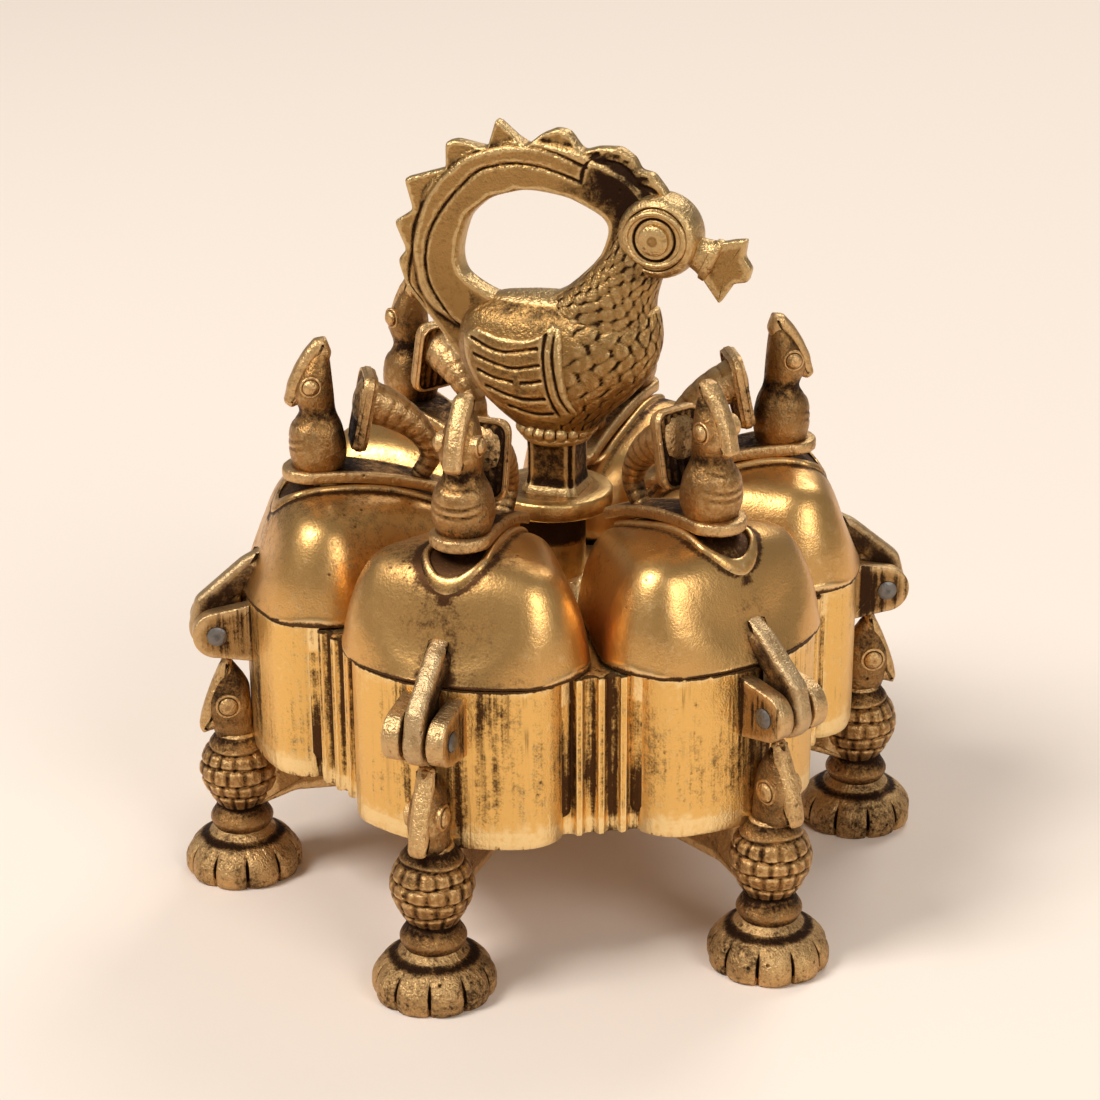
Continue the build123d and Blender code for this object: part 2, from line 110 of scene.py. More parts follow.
def make(name, shells, material, body, smooth_angle=40, merge=False, stain_and_shade=None):
    """One object from closed shells of points in millimetres. It carries 'relief': how far, in
    millimetres, each point stands out of the surface that its neighbours' mean gives when the
    mesh is smoothed a few times, so a worn edge is positive and a hollow negative. A further
    function of x, y and z may say where more tarnish sits, and on some pieces painted shade."""
    verts, faces, start = [], [], 0
    for points, groups in shells:
        verts.append(points)
        faces += [row for group in groups for row in (group + start).tolist()]
        start += len(points)
    verts = np.vstack(verts)
    mesh = bpy.data.meshes.new(name)
    mesh.from_pydata((verts * mm).tolist(), [], faces)
    if merge:
        import bmesh
        b = bmesh.new()
        b.from_mesh(mesh)
        bmesh.ops.remove_doubles(b, verts=b.verts, dist=2e-6)
        b.to_mesh(mesh)
        b.free()
    mesh.validate()
    mesh.update()
    count = len(mesh.vertices)
    here = np.empty(count * 3)
    mesh.vertices.foreach_get("co", here)
    here = here.reshape(-1, 3) / mm
    ends = np.empty(len(mesh.edges) * 2, int)
    mesh.edges.foreach_get("vertices", ends)
    i, j = ends[::2], ends[1::2]
    degree = np.maximum(np.bincount(ends, minlength=count), 1)[:, None]
    normals = np.empty(count * 3, np.float32)
    mesh.vertex_normals.foreach_get("vector", normals)
    flat = here.copy()
    for _ in range(10):
        total = np.zeros_like(flat)
        for axis in range(3):
            total[:, axis] = (np.bincount(i, flat[j, axis], count) + np.bincount(j, flat[i, axis], count))
        flat = 0.5 * flat + 0.5 * total / degree
    relief = ((here - flat) * normals.reshape(-1, 3)).sum(1)
    mesh.attributes.new("relief", "FLOAT", "POINT").data.foreach_set("value", relief)
    if stain_and_shade is not None:
        mesh.attributes.new("stain_and_shade", "FLOAT", "POINT").data.foreach_set("value", stain_and_shade(*here.T))
    mesh.materials.append(material)
    mesh.shade_smooth()
    mesh.set_sharp_from_angle(angle=np.radians(smooth_angle))
    piece = bpy.data.objects.new(name, mesh)
    bpy.context.scene.collection.objects.link(piece)
    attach(piece, body)
    return piece


def metal_effects():
    """The node group that ages brass. Relief, stirred by two noises, picks between the hollow,
    field and bright colours; fine noise and small pits give the height; tarnish is rougher."""
    group = bpy.data.node_groups.new("aged_brass", "ShaderNodeTree")
    sockets = {
        "Field": "NodeSocketColor", "Bright": "NodeSocketColor", "Hollow": "NodeSocketColor",
        "Reach": "NodeSocketFloat", "Tarnish": "NodeSocketFloat", "Mottle Scale": "NodeSocketFloat",
        "Grain Scale": "NodeSocketFloat", "Smooth": "NodeSocketFloat", "Rough": "NodeSocketFloat",
        "Pits": "NodeSocketFloat", "Strokes": "NodeSocketFloat",
    }
    for name, kind in sockets.items():
        group.interface.new_socket(name, in_out="INPUT", socket_type=kind)
    for name, kind in (("Color", "NodeSocketColor"), ("Roughness", "NodeSocketFloat"),
                       ("Height", "NodeSocketFloat")):
        group.interface.new_socket(name, in_out="OUTPUT", socket_type=kind)
    nodes, links = group.nodes, group.links
    given, out = nodes.new("NodeGroupInput"), nodes.new("NodeGroupOutput")
    place = nodes.new("ShaderNodeTexCoord")

    def noise(scale, detail, stretch=None):
        n = nodes.new("ShaderNodeTexNoise")
        n.inputs["Detail"].default_value = detail
        n.inputs["Roughness"].default_value = 0.6
        source = place.outputs["Object"]
        if stretch:
            m = nodes.new("ShaderNodeMapping")
            m.inputs["Scale"].default_value = stretch
            links.new(source, m.inputs["Vector"])
            source = m.outputs["Vector"]
        links.new(source, n.inputs["Vector"])
        if isinstance(scale, (int, float)):
            n.inputs["Scale"].default_value = scale
        else:
            links.new(scale, n.inputs["Scale"])
        return n.outputs["Fac"]

    def sums(kind, a, b, clamp=False):
        n = nodes.new("ShaderNodeMath")
        n.operation, n.use_clamp = kind, clamp
        for socket, value in zip(n.inputs, (a, b)):
            if isinstance(value, (int, float)):
                socket.default_value = value
            else:
                links.new(value, socket)
        return n.outputs[0]

    def spread(value, low, high, to_low=0.0, to_high=1.0):
        n = nodes.new("ShaderNodeMapRange")
        n.interpolation_type = "SMOOTHSTEP"
        links.new(value, n.inputs["Value"])
        for key, v in (("From Min", low), ("From Max", high), ("To Min", to_low), ("To Max", to_high)):
            n.inputs[key].default_value = v
        return n.outputs["Result"]

    def mix(factor, a, b):
        n = nodes.new("ShaderNodeMix")
        n.data_type = "RGBA"
        links.new(factor, n.inputs["Factor"])
        links.new(a, n.inputs["A"])
        links.new(b, n.inputs["B"])
        return n.outputs["Result"]

    relief = nodes.new("ShaderNodeAttribute")
    relief.attribute_name = "relief"
    steep = sums("DIVIDE", relief.outputs["Fac"], given.outputs["Reach"])
    steep = sums("MAXIMUM", sums("MINIMUM", steep, 1.0), -1.7)
    blotch = sums("SUBTRACT", noise(given.outputs["Mottle Scale"], 5.0), 0.5)
    speck = sums("SUBTRACT", noise(given.outputs["Grain Scale"], 3.0), 0.5)
    grit = sums("SUBTRACT", noise(2400.0, 2.0), 0.5)
    streak = sums("SUBTRACT", noise(560.0, 3.0, (1.0, 1.0, 0.045)), 0.5)
    stir = sums("ADD", sums("MULTIPLY", blotch, 3.4), sums("MULTIPLY", speck, 2.4))
    stir = sums("ADD", stir, sums("MULTIPLY", grit, 1.3))
    # The attribute read here holds each piece's tarnish and, on some pieces, painted shade; both pull the colour
    # towards the hollow colour.
    stain_and_shade = nodes.new("ShaderNodeAttribute")
    stain_and_shade.attribute_name = "stain_and_shade"
    stained_and_shaded = sums("ADD", sums("SUBTRACT", stir, steep), given.outputs["Tarnish"])
    stained_and_shaded = sums("ADD", stained_and_shaded, stain_and_shade.outputs["Fac"])
    drawn = sums("MULTIPLY", sums("MULTIPLY", streak, 5.0), given.outputs["Strokes"])
    fouled_and_shaded = sums("MINIMUM", stain_and_shade.outputs["Fac"], 0.8)
    drawn = sums("MULTIPLY", drawn, sums("ADD", 1.0, sums("MULTIPLY", fouled_and_shaded, 2.0)))
    stained_and_shaded = sums("ADD", stained_and_shaded, drawn)
    pits = nodes.new("ShaderNodeTexVoronoi")
    pits.inputs["Scale"].default_value = 420.0
    links.new(place.outputs["Object"], pits.inputs["Vector"])
    pit = spread(pits.outputs["Distance"], 0.04, 0.2, 1.0, 0.0)
    few = spread(noise(90.0, 2.0), 0.5, 0.62)
    hole = sums("MULTIPLY", sums("MULTIPLY", pit, few), given.outputs["Pits"])
    lines = spread(noise(1000.0, 4.0, (1.0, 1.0, 0.03)), 0.56, 0.68)
    where = sums("ADD", spread(noise(55.0, 2.0), 0.55, 0.72), stain_and_shade.outputs["Fac"])
    scored = sums("MULTIPLY", sums("MULTIPLY", lines, where, True), given.outputs["Strokes"])
    dark = spread(sums("ADD", stained_and_shaded, sums("MULTIPLY", hole, 1.2)), -0.35, 1.5)
    dark = sums("MAXIMUM", dark, scored)
    rubbed = spread(sums("ADD", steep, sums("MULTIPLY", speck, 2.0)), 0.2, 1.1)
    toned = mix(dark, given.outputs["Field"], given.outputs["Hollow"])
    colour = mix(sums("MULTIPLY", rubbed, sums("SUBTRACT", 1.0, sums("MULTIPLY", dark, 0.97))),
                 toned, given.outputs["Bright"])
    links.new(colour, out.inputs["Color"])
    rough = sums("ADD", given.outputs["Smooth"],
                 sums("MULTIPLY", dark, sums("SUBTRACT", given.outputs["Rough"], given.outputs["Smooth"])))
    links.new(sums("ADD", rough, sums("MULTIPLY", speck, 0.12), True), out.inputs["Roughness"])
    height = sums("ADD", sums("MULTIPLY", speck, 0.7), sums("MULTIPLY", grit, 0.35))
    height = sums("ADD", height, sums("MULTIPLY", streak, given.outputs["Strokes"]))
    links.new(sums("SUBTRACT", height, hole), out.inputs["Height"])
    return group


aged_brass = metal_effects()


def brass(name, field, bright, hollow, reach=0.08, tarnish=0.0, mottle=60.0, grain=600.0,
          smooth=0.24, rough=0.5, pits=0.6, strokes=0.0, bump=0.25):
    """A brass finish: the shared ageing group with this piece's own colours and amounts."""
    material = bpy.data.materials.new(name)
    material.use_nodes = True
    nodes, links = material.node_tree.nodes, material.node_tree.links
    shader = nodes["Principled BSDF"]
    age = nodes.new("ShaderNodeGroup")
    age.node_tree = aged_brass
    for key, value in (("Field", (*field, 1)), ("Bright", (*bright, 1)), ("Hollow", (*hollow, 1)),
                       ("Reach", reach), ("Tarnish", tarnish), ("Mottle Scale", mottle),
                       ("Grain Scale", grain), ("Smooth", smooth), ("Rough", rough),
                       ("Pits", pits), ("Strokes", strokes)):
        age.inputs[key].default_value = value
    shader.inputs["Metallic"].default_value = 1.0
    links.new(age.outputs["Color"], shader.inputs["Base Color"])
    links.new(age.outputs["Roughness"], shader.inputs["Roughness"])
    rise = nodes.new("ShaderNodeBump")
    rise.inputs["Strength"].default_value = bump
    rise.inputs["Distance"].default_value = 0.0009
    links.new(age.outputs["Height"], rise.inputs["Height"])
    links.new(rise.outputs["Normal"], shader.inputs["Normal"])
    return material


box_brass = brass("box_brass", (0.83, 0.50, 0.155), (0.94, 0.69, 0.33), (0.085, 0.037, 0.014),
                  reach=0.10, tarnish=-0.3, mottle=45, smooth=0.36, rough=0.6, strokes=0.6, bump=0.3)


def lobe_wall():
    """The outside of one sector in plan, from the middle of one valley to the middle of the next:
    half a fluted flat, the corner arc, the front arc and the same mirrored. A flute cuts the
    flat by the depth of its circle below the face."""
    cx = crest - front_round + np.sqrt((front_round - corner_round) ** 2 - (lobe_half - corner_round) ** 2)
    cy = lobe_half - corner_round
    a0 = np.degrees(np.arctan2(cy, cx - crest + front_round))
    a1 = 30 + np.degrees(np.arccos((valley - cx * np.sqrt(0.75) - cy * 0.5) / corner_round))
    corner = arc(cx, cy, corner_round, a0, a1, 26)
    out, across = np.array([np.sqrt(0.75), 0.5]), np.array([0.5, -np.sqrt(0.75)])
    s = np.linspace((corner[-1] @ across), 0, 64)[1:]
    cut = np.zeros_like(s)
    for at in flutes_at:
        cut = np.maximum(cut, np.sqrt(np.maximum(flute_round**2 - (s - at) ** 2, 0))
                         - (flute_round - flute_depth))
    flat = (valley - cut)[:, None] * out + s[:, None] * across
    half = np.concatenate([arc(crest - front_round, 0, front_round, 0, a0, 34)[:-1], corner, flat])
    return np.concatenate([half[:0:-1] * (1, -1), half])


def inward(plan, amount):
    """A plan's points moved in along the mean normal of their two neighbours' chord."""
    chord = np.gradient(plan, axis=0)
    normal = np.stack([chord[:, 1], -chord[:, 0]], -1)
    return plan - amount * normal / np.linalg.norm(normal, axis=1, keepdims=True)


def box_sector():
    """One sixth of the casting. Rays from the cup's middle match each point of the cup's edge to
    one of the sector's edge, so the deck is a ring of quads; the outer wall and the base hang
    from the same points."""
    wall = lobe_wall()
    lifted = inward(wall, 0.2)
    lifted[0], lifted[-1] = wall[0] * (1 - 0.2 / valley), wall[-1] * (1 - 0.2 / valley)
    side = line(lifted[-1], (0, 0), 40)[1:-1]
    edge = np.concatenate([lifted, side, [[0, 0]], side[::-1] * (1, -1)])
    ray = edge - cup_centre
    bearing = np.maximum.accumulate(np.unwrap(np.arctan2(ray[:, 1], ray[:, 0])))
    bearing = 0.97 * bearing + 0.03 * np.linspace(bearing[0], bearing[-1], len(bearing))

    def ring(inset, z):
        plan = petal(cup_inset + inset, cup_gap, 2) - cup_centre
        angle = np.arctan2(plan[:, 1], plan[:, 0])
        order = np.argsort(angle)
        reach = np.interp(bearing, angle[order], np.hypot(*plan[order].T), period=2 * np.pi)
        xy = cup_centre + reach[:, None] * np.stack([np.cos(bearing), np.sin(bearing)], -1)
        return np.column_stack([xy, np.full(len(xy), z)])

    floor = base_z + floor_thick
    rows = [ring(6, floor), ring(2.5, floor), ring(1.2, floor + 0.4), ring(0.3, floor + 1.4)]
    rows += [ring(0, z) for z in np.linspace(floor + 2.5, rim_z - 0.4, 6)]
    rows += [ring(-0.12, rim_z - 0.12), ring(-0.4, rim_z)]
    rows.append(np.column_stack([edge, np.full(len(edge), rim_z)]))
    n, m = len(rows), len(edge)
    grid = np.array(rows)
    index = np.arange(n * m).reshape(n, m)
    a, b = index[:-1], index[1:]
    quads = np.stack([b, np.roll(b, -1, 1), np.roll(a, -1, 1), a], -1).reshape(-1, 4)
    middle = np.stack([index[0], np.roll(index[0], -1), np.full(m, n * m)], -1)
    inside = (np.vstack([grid.reshape(-1, 3), [*cup_centre, floor]]), [quads, middle])
    drops = [(0.2, rim_z), (0.06, rim_z - 0.07), (0, rim_z - 0.25), (0, rim_z - 0.7)]
    drops += [(0, z) for z in np.linspace(rim_z - 2, base_z + 1.6, 14)]
    drops += [(0.04, base_z + 0.6), (0.2, base_z + 0.2), (0.7, base_z)]
    skin = []
    for amount, z in drops:
        plan = inward(wall, amount)
        plan[0], plan[-1] = wall[0] * (1 - amount / valley), wall[-1] * (1 - amount / valley)
        skin.append(np.column_stack([plan, np.full(len(plan), z)]))
    last = skin[-1]
    skin += [last * (s, s, 1) for s in (0.8, 0.5, 0.2)]
    skin = np.array(skin)
    n, m = skin.shape[:2]
    index = np.arange(n * m).reshape(n, m)
    a, b = index[:-1], index[1:]
    quads = np.stack([a[:, :-1], b[:, :-1], b[:, 1:], a[:, 1:]], -1).reshape(-1, 4)
    hub = np.stack([index[-1, :-1], np.full(m - 1, n * m), index[-1, 1:]], -1)
    outside = (np.vstack([skin.reshape(-1, 3), [0, 0, base_z]]), [quads, hub])
    return [inside, outside]


def box_stain_and_shade(x, y, z):
    """Tarnish and painted shade on the box: tarnish deep in the flutes of each valley, light on the
    ridges between them, in patches beside the ears, on the deck and in the cups; a painted shadow of
    the lid's gap in a band just under the rim, painted shade along the bottom edge, and tarnish with
    painted shade down the middle of each lobe behind the leg's head. Bearings are folded into one sector."""
    bearing = np.arctan2(x, -y)
    fold = (bearing + np.pi / 6) % (np.pi / 3) - np.pi / 6
    r = np.hypot(x, y)
    out, across = r * np.cos(fold), np.abs(r * np.sin(fold))
    past = r * np.cos(np.pi / 6 - np.abs(fold))
    off = r * np.sin(np.pi / 6 - np.abs(fold))
    valley_zone = np.clip((9.2 - off) / 1.5, 0, 1) * (past < valley + 1.0) * (past > valley - 4)
    cut = np.clip((valley - 0.65 - past) / 0.35, 0, 1)
    side = np.clip((6 - np.abs(across - 9.5)) / 5, 0, 1) * (out > 55) * np.clip((z - 34) / 20, 0, 1)
    within = (z > base_z + 1) & (z < rim_z - 0.6) & (r < 52) & (out < 57.4)
    # Painted shadow of the gap under the lid: a dark band just under the rim.
    gap_shadow = np.clip((z - rim_z + 0.42) / 0.2, 0, 1) * (z < rim_z - 0.01)
    deck = 0.45 * (z > rim_z - 0.01)
    # Tarnish and painted shade down the middle of each lobe's front, behind the leg's head.
    root = np.exp(-(((across - 2.0) / 5.5) ** 2)) * (out > 55)
    # Painted shade along the bottom edge of the wall.
    foot_edge = np.clip((base_z + 0.9 - z) / 0.5, 0, 1)
    return 0.9 * foot_edge + deck + 0.35 * valley_zone + 1.2 * valley_zone * cut + 0.55 * side + 0.6 * within + 4 * gap_shadow + 0.9 * root


sector = box_sector()
shells = [(turn(points, k), groups) for k in range(6) for points, groups in sector]
box = make("box_casting", shells, box_brass, "box", merge=True, stain_and_shade=box_stain_and_shade)
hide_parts("body")

# The hinge ears: two stubs of the same casting in front of each lobe, rounded about the bore
# and filed flat on their sides. They hold the pin, and the lid's lever turns between them.
hinge_r, hinge_z = 67.2, 53.5
slot_half, ear_thick, ear_round = 2.6, 3.4, 4.7


def eased(points, step=0.5, rounds=3):
    """A closed run of points laid evenly a step apart along the outline, each then averaged a
    few times with its two neighbours, so that the corners are eased."""
    loop = np.vstack([points, points[:1]])
    along = np.append(0, np.cumsum(np.linalg.norm(np.diff(loop, axis=0), axis=1)))
    at = np.linspace(0, along[-1], int(along[-1] / step) + 1)[:-1]
    run = np.stack([np.interp(at, along, loop[:, i]) for i in (0, 1)], -1)
    for _ in range(rounds):
        run = 0.5 * run + 0.25 * (np.roll(run, 1, 0) + np.roll(run, -1, 0))
    return run


def drawn_in(plan, amount):
    """A closed plan's points moved in along the normal of their two neighbours' chord."""
    chord = np.roll(plan, -1, 0) - np.roll(plan, 1, 0)
    normal = np.stack([chord[:, 1], -chord[:, 0]], -1)
    return plan - amount * normal / np.linalg.norm(normal, axis=1, keepdims=True)


def slab(plan, low, high, bevel=0.4):
    """A plate over a closed anticlockwise plan: at both faces its edge turns in by a quarter
    round, drawn in by bevel * (1 - sin a) at the height bevel * (1 - cos a)."""
    middle = plan.mean(0)
    rows = []
    for a in np.radians([0, 30, 60, 90]):
        edge = drawn_in(plan, bevel * (1 - np.sin(a)))
        rise = np.full(len(plan), bevel * (1 - np.cos(a)))
        rows.append((edge, rise))
    inner = [(middle + (rows[0][0] - middle) * s, rows[0][1]) for s in (0.35, 0.7)]
    rows = inner + rows
    low_rows = [np.column_stack([edge, low + rise]) for edge, rise in rows]
    high_rows = [np.column_stack([edge, high - rise]) for edge, rise in rows[::-1]]
    return weave(low_rows + high_rows)


def on_side(shell, shift=(0, 0, 0)):
    """A shell drawn flat, laid on its side: its plan comes to stand in (r, z), its axis on -Y."""
    p, groups = shell
    return np.stack([p[:, 0], -p[:, 2], p[:, 1]], -1) + shift, groups


def around(shells, lobe):
    """Shells drawn in the sector's frame, turned to their place round the box."""
    return [(turn(p, lobe), groups) for p, groups in shells]


ear_plan = eased(np.vstack([arc(hinge_r, hinge_z, ear_round, -90, 75, 24), [(59.8, 59.5), (59.8, 47.5)]]), 0.4, 2)
ear_pair = [on_side(slab(ear_plan, *ends)) for ends in
            ((slot_half, slot_half + ear_thick), (-slot_half - ear_thick, -slot_half))]
ear_brass = brass("ear_brass", (0.40, 0.225, 0.08), (0.66, 0.43, 0.20), (0.055, 0.026, 0.012),
                  reach=0.2, tarnish=0.3, mottle=130, smooth=0.42, rough=0.62, strokes=1.0, bump=0.4)


def across_sector(x, y):
    """How far a point lies to either side of its own lobe's middle line, and how far out along it."""
    bearing = (np.arctan2(x, -y) + np.pi / 6) % (np.pi / 3) - np.pi / 6
    return np.abs(np.hypot(x, y) * np.sin(bearing)), np.hypot(x, y) * np.cos(bearing)


def ear_stain(x, y, z):
    """Tarnish on the ears: on their filed sides, and more so towards the wall."""
    across, out = across_sector(x, y)
    sides = np.maximum(across > slot_half + ear_thick - 0.25, across < slot_half + 0.25)
    return sides * (0.25 + 0.5 * np.clip((67 - out) / 6, 0, 1))


ears = make("hinge_ears", [s for k in range(6) for s in around(ear_pair, k)], ear_brass, "box", stain_and_shade=ear_stain)

# The hinge pins: drawn steel rod with the ends riveted over against the ears, gone blue-grey.
pin_steel = brass("pin_steel", (0.11, 0.10, 0.095), (0.22, 0.20, 0.18), (0.04, 0.03, 0.024),
                  reach=0.2, tarnish=0.2, mottle=200, smooth=0.45, rough=0.65)


def spun(profile, sides=64):
    """A turned form: the profile's radius at each height carried round the axis."""
    z, r = np.asarray(profile, float).T
    a = np.linspace(0, 2 * np.pi, sides, endpoint=False)
    return weave(np.stack([np.outer(r, np.cos(a)), np.outer(r, np.sin(a)),
                           np.outer(z, np.ones(sides))], -1))


pin_end = [(6.0, 2.0), (6.25, 1.92), (6.45, 1.6), (6.6, 1.0)]
pin = on_side(spun([(-z, r) for z, r in pin_end[::-1]] + [(-5.9, 1.5), (5.9, 1.5)] + pin_end, 28),
              (hinge_r, 0, hinge_z))
for k in range(6):
    it = make(f"riveted_pin_{k + 1}", around([pin], k), pin_steel, "box")
    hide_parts(f"hinge_pin_{k + 1}")

# The hub: a turned brass column on the deck under the disc that bears the peacock.
hub_brass = brass("hub_brass", (0.36, 0.185, 0.055), (0.64, 0.40, 0.15), (0.05, 0.022, 0.01),
                  reach=0.14, tarnish=0.35, smooth=0.38, rough=0.6)
hub = make("turned_hub", [spun([
    (60.75, 6.5), (61.2, 6.5), (67, 6.5), (74.2, 6.5), (74.6, 6.9), (74.6, 9), (74.6, 11.2), (74.75, 11.6),
    (75.1, 11.8), (76.4, 11.8), (77.7, 11.8), (78.1, 11.6), (78.3, 11.2), (78.3, 9), (78.3, 7),
], 120)], hub_brass, "box")
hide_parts("collar")

# The nut: a small steel hexagon under the floor that draws the peacock's stud down.
hexagon = arc(0, 0, 8 / np.sqrt(3), 0, 360, 7)[:-1]
nut = make("stud_nut", [slab(eased(hexagon, 0.4, 1), 24.9, 28.45, 0.35)], pin_steel, "box")
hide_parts("centre_nut")

# The legs: solid castings left rough from the mould. Each is a petalled foot, a turned neck and
# a bird shaped like a pot with rows of teeth for feathers; a web runs in under the box and its
# tenon is burnished over inside the cup.
leg_r = 64.0
cast_brass = brass("cast_brass", (0.36, 0.185, 0.062), (0.72, 0.46, 0.20), (0.035, 0.016, 0.008),
                   reach=0.16, tarnish=0.45, mottle=110, grain=900, smooth=0.38, rough=0.68,
                   pits=1.0, bump=0.7)


def smooth(x, xs, ys):
    """Values at x on a curve through the knots (xs, ys): a cubic between each two knots that
    leaves and arrives with the slope its neighbours give."""
    xs, ys = np.asarray(xs, float), np.asarray(ys, float)
    slope = np.gradient(ys, xs, axis=0)
    i = np.clip(np.searchsorted(xs, x) - 1, 0, len(xs) - 2)
    step = xs[i + 1] - xs[i]
    t = (x - xs[i]) / step
    if ys.ndim > 1:
        t, step = t[:, None], step[:, None]
    return ((2 * t**3 - 3 * t**2 + 1) * ys[i] + (t**3 - 2 * t**2 + t) * step * slope[i]
            + (3 * t**2 - 2 * t**3) * ys[i + 1] + (t**3 - t**2) * step * slope[i + 1])


def loft(stations, rows=36, around=48, power=2.6, shape=None):
    """A body through stations (reach, rise, direction, half depth, half width). The values run
    smoothly up the body; a section is the rounded square |u|^p + |v|^p = 1, and a short dome
    closes each end. A shape function of share and turn may raise or lower the skin."""
    s = np.asarray(stations, float)
    at = np.concatenate([np.zeros(3), np.linspace(0, len(s) - 1, rows), np.full(3, len(s) - 1)])
    share = np.concatenate([[0.3, 0.65, 0.9], np.ones(rows), [0.9, 0.65, 0.3]])
    push = np.concatenate([[-0.34, -0.25, -0.12], np.zeros(rows), [0.12, 0.25, 0.34]])
    r, z, way, deep, wide = smooth(at, np.arange(len(s)), s).T
    way = np.radians(way)
    a = np.linspace(0, 2 * np.pi, around, endpoint=False)
    u = np.sign(np.cos(a)) * np.abs(np.cos(a)) ** (2 / power)
    v = np.sign(np.sin(a)) * np.abs(np.sin(a)) ** (2 / power)
    small = np.minimum(deep, wide)
    r, z = r + push * small * np.cos(way), z + push * small * np.sin(way)
    lift = np.zeros((len(at), around)) if shape is None else shape(at[:, None], a[None], r[:, None], z[:, None])
    x = np.outer(deep * share, u) + lift * np.cos(a)
    y = np.outer(wide * share, v) + lift * np.sin(a)
    return weave(np.stack([r[:, None] + x * np.sin(way)[:, None], y, z[:, None] - x * np.cos(way)[:, None]], -1))


def moved(shell, shift):
    """A shell moved by a shift."""
    return shell[0] + shift, shell[1]


def foot():
    """The foot: its radius at each height, times ten petals 1 - d * (1 - |cos 5a|^0.3)."""
    z, r, d = np.array([
        (0, 10.9, 0.10), (0.4, 11.4, 0.12), (1.2, 11.7, 0.13), (2.2, 11.75, 0.13), (3.4, 11.7, 0.13),
        (4.4, 11.4, 0.12), (5.4, 10.8, 0.08), (6.2, 10.1, 0.04), (6.9, 9.4, 0.02), (7.4, 8.7, 0.01),
        (7.9, 7.6, 0), (8.5, 6.7, 0), (9.1, 6.0, 0), (9.8, 5.4, 0),
    ]).T
    a = np.linspace(0, 2 * np.pi, 180, endpoint=False)
    ring = r[:, None] * (1 - d[:, None] * (1 - np.abs(np.cos(5 * a)) ** 0.3))
    return weave(np.stack([ring * np.cos(a), ring * np.sin(a), z[:, None] + 0 * ring], -1))


def pot():
    """The neck and the pot-shaped body: a smooth profile, four rounded grooves round it, and
    between them teeth 0.4 * (0.5 + 0.5 cos 14a) that turn by half a tooth from row to row."""
    z = np.linspace(9.2, 30.8, 110)[:, None]
    r = smooth(z[:, 0], (9, 11.5, 14.6, 18, 22.2, 26.6, 30.8), (5, 6.3, 5, 6.7, 8, 6.8, 3.9))[:, None]
    a = np.linspace(0, 2 * np.pi, 112, endpoint=False)[None]
    grooves = (14.8, 18.0, 21.2, 24.4, 27.4)
    cut = sum(0.5 * np.exp(-(((z - g - 0.25 * np.sin(2 * a + g)) / 0.4) ** 2)) for g in grooves)
    row = np.searchsorted(grooves, z[:, 0])[:, None]
    teeth = 0.34 * (0.5 + 0.5 * np.cos(13 * a + np.pi * row + 0.6 * np.sin(3 * a + row))) ** 4
    teeth = teeth * ((z > grooves[0]) & (z < grooves[-1]))
    ring = r - cut - teeth
    return weave(np.stack([ring * np.cos(a), ring * np.sin(a), z + 0 * ring], -1))


def button(radius, rise):
    """A round eye: a low turned boss with a step round its foot."""
    return spun([(-rise, radius * 0.95), (rise * 0.35, radius), (rise * 0.5, radius * 0.9), (rise * 0.45, radius * 0.76),
                 (rise * 0.9, radius * 0.68), (rise * 1.25, radius * 0.45), (rise * 1.35, radius * 0.2)], 28)


def clear_of_wall(shell):
    """The head's back pressed flat against the lobe: no point above the base lies inside its arc."""
    p, groups = shell
    wall = 25.0 + np.sqrt(36.15**2 - p[:, 1] ** 2)
    return np.column_stack([np.where(p[:, 2] > 28.4, np.maximum(p[:, 0], wall), p[:, 0]), p[:, 1:]]), groups


head = loft([(0.15, 29.4, 90, 4.0, 3.6), (0.8, 33, 90, 4.4, 3.5), (1.1, 37, 90, 4.5, 3.5),
             (0.9, 41.5, 90, 3.3, 2.5), (1.5, 46.2, 90, 0.9, 0.7)], 40, 56, 2.3)
face_plan = eased(np.array([(0.6, 30.4), (3.4, 31.6), (5.4, 31.2), (6.9, 30.6), (7.5, 32.2), (6.9, 35.0), (5.6, 38.8),
                            (4.3, 42.0), (2.9, 45.0), (1.5, 46.9), (0.4, 46.4), (0.2, 40.0)]), 0.4, 2)
face = on_side(slab(face_plan, -1.9, 1.9, 1.3))
web = eased(np.array([(53, 17.5), (61, 14.5), (61, 28.4), (28, 28.4), (30, 26), (38, 17.5)]), 0.6, 2)
leg_shells = [foot(), pot(), clear_of_wall(moved(head, (leg_r, 0, 0))), face]
leg_shells = [moved(s, (leg_r, 0, 0)) if i in (0, 1, 3) else s for i, s in enumerate(leg_shells)]
leg_shells += [moved(on_side(button(2.5, 0.8)), (leg_r + 1.7, -3.2, 37.2))]
mirror = leg_shells[-1]
leg_shells += [(mirror[0] * (1, -1, 1), [g[:, ::-1] for g in mirror[1]])]
leg_shells += [on_side(slab(web, -3.2, 3.2, 0.7)),
               moved(spun([(-3, 1.2), (0.02, 2.55), (0.45, 2.3), (0.85, 1.3)], 24), (45.5, 0, 31.5))]


def leg_stain(x, y, z):
    """Tarnish on a leg: heavy on the foot and in the two necks, light on the pot's teeth."""
    necks = np.exp(-(((z - 14.6) / 1.3) ** 2)) + np.exp(-(((z - 30.3) / 1.2) ** 2))
    face = 0.4 * np.clip((z - 31) / 2, 0, 1)
    return 1.1 * np.clip((11.5 - z) / 2, 0, 1) + 0.9 * necks + face - 0.4 * np.clip(1 - np.abs(z - 22) / 7, 0, 1)


for k in range(6):
    leg = make(f"cast_leg_{k + 1}", around(leg_shells, k), cast_brass, "box", stain_and_shade=leg_stain)
    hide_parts(f"leg_{k + 1}")

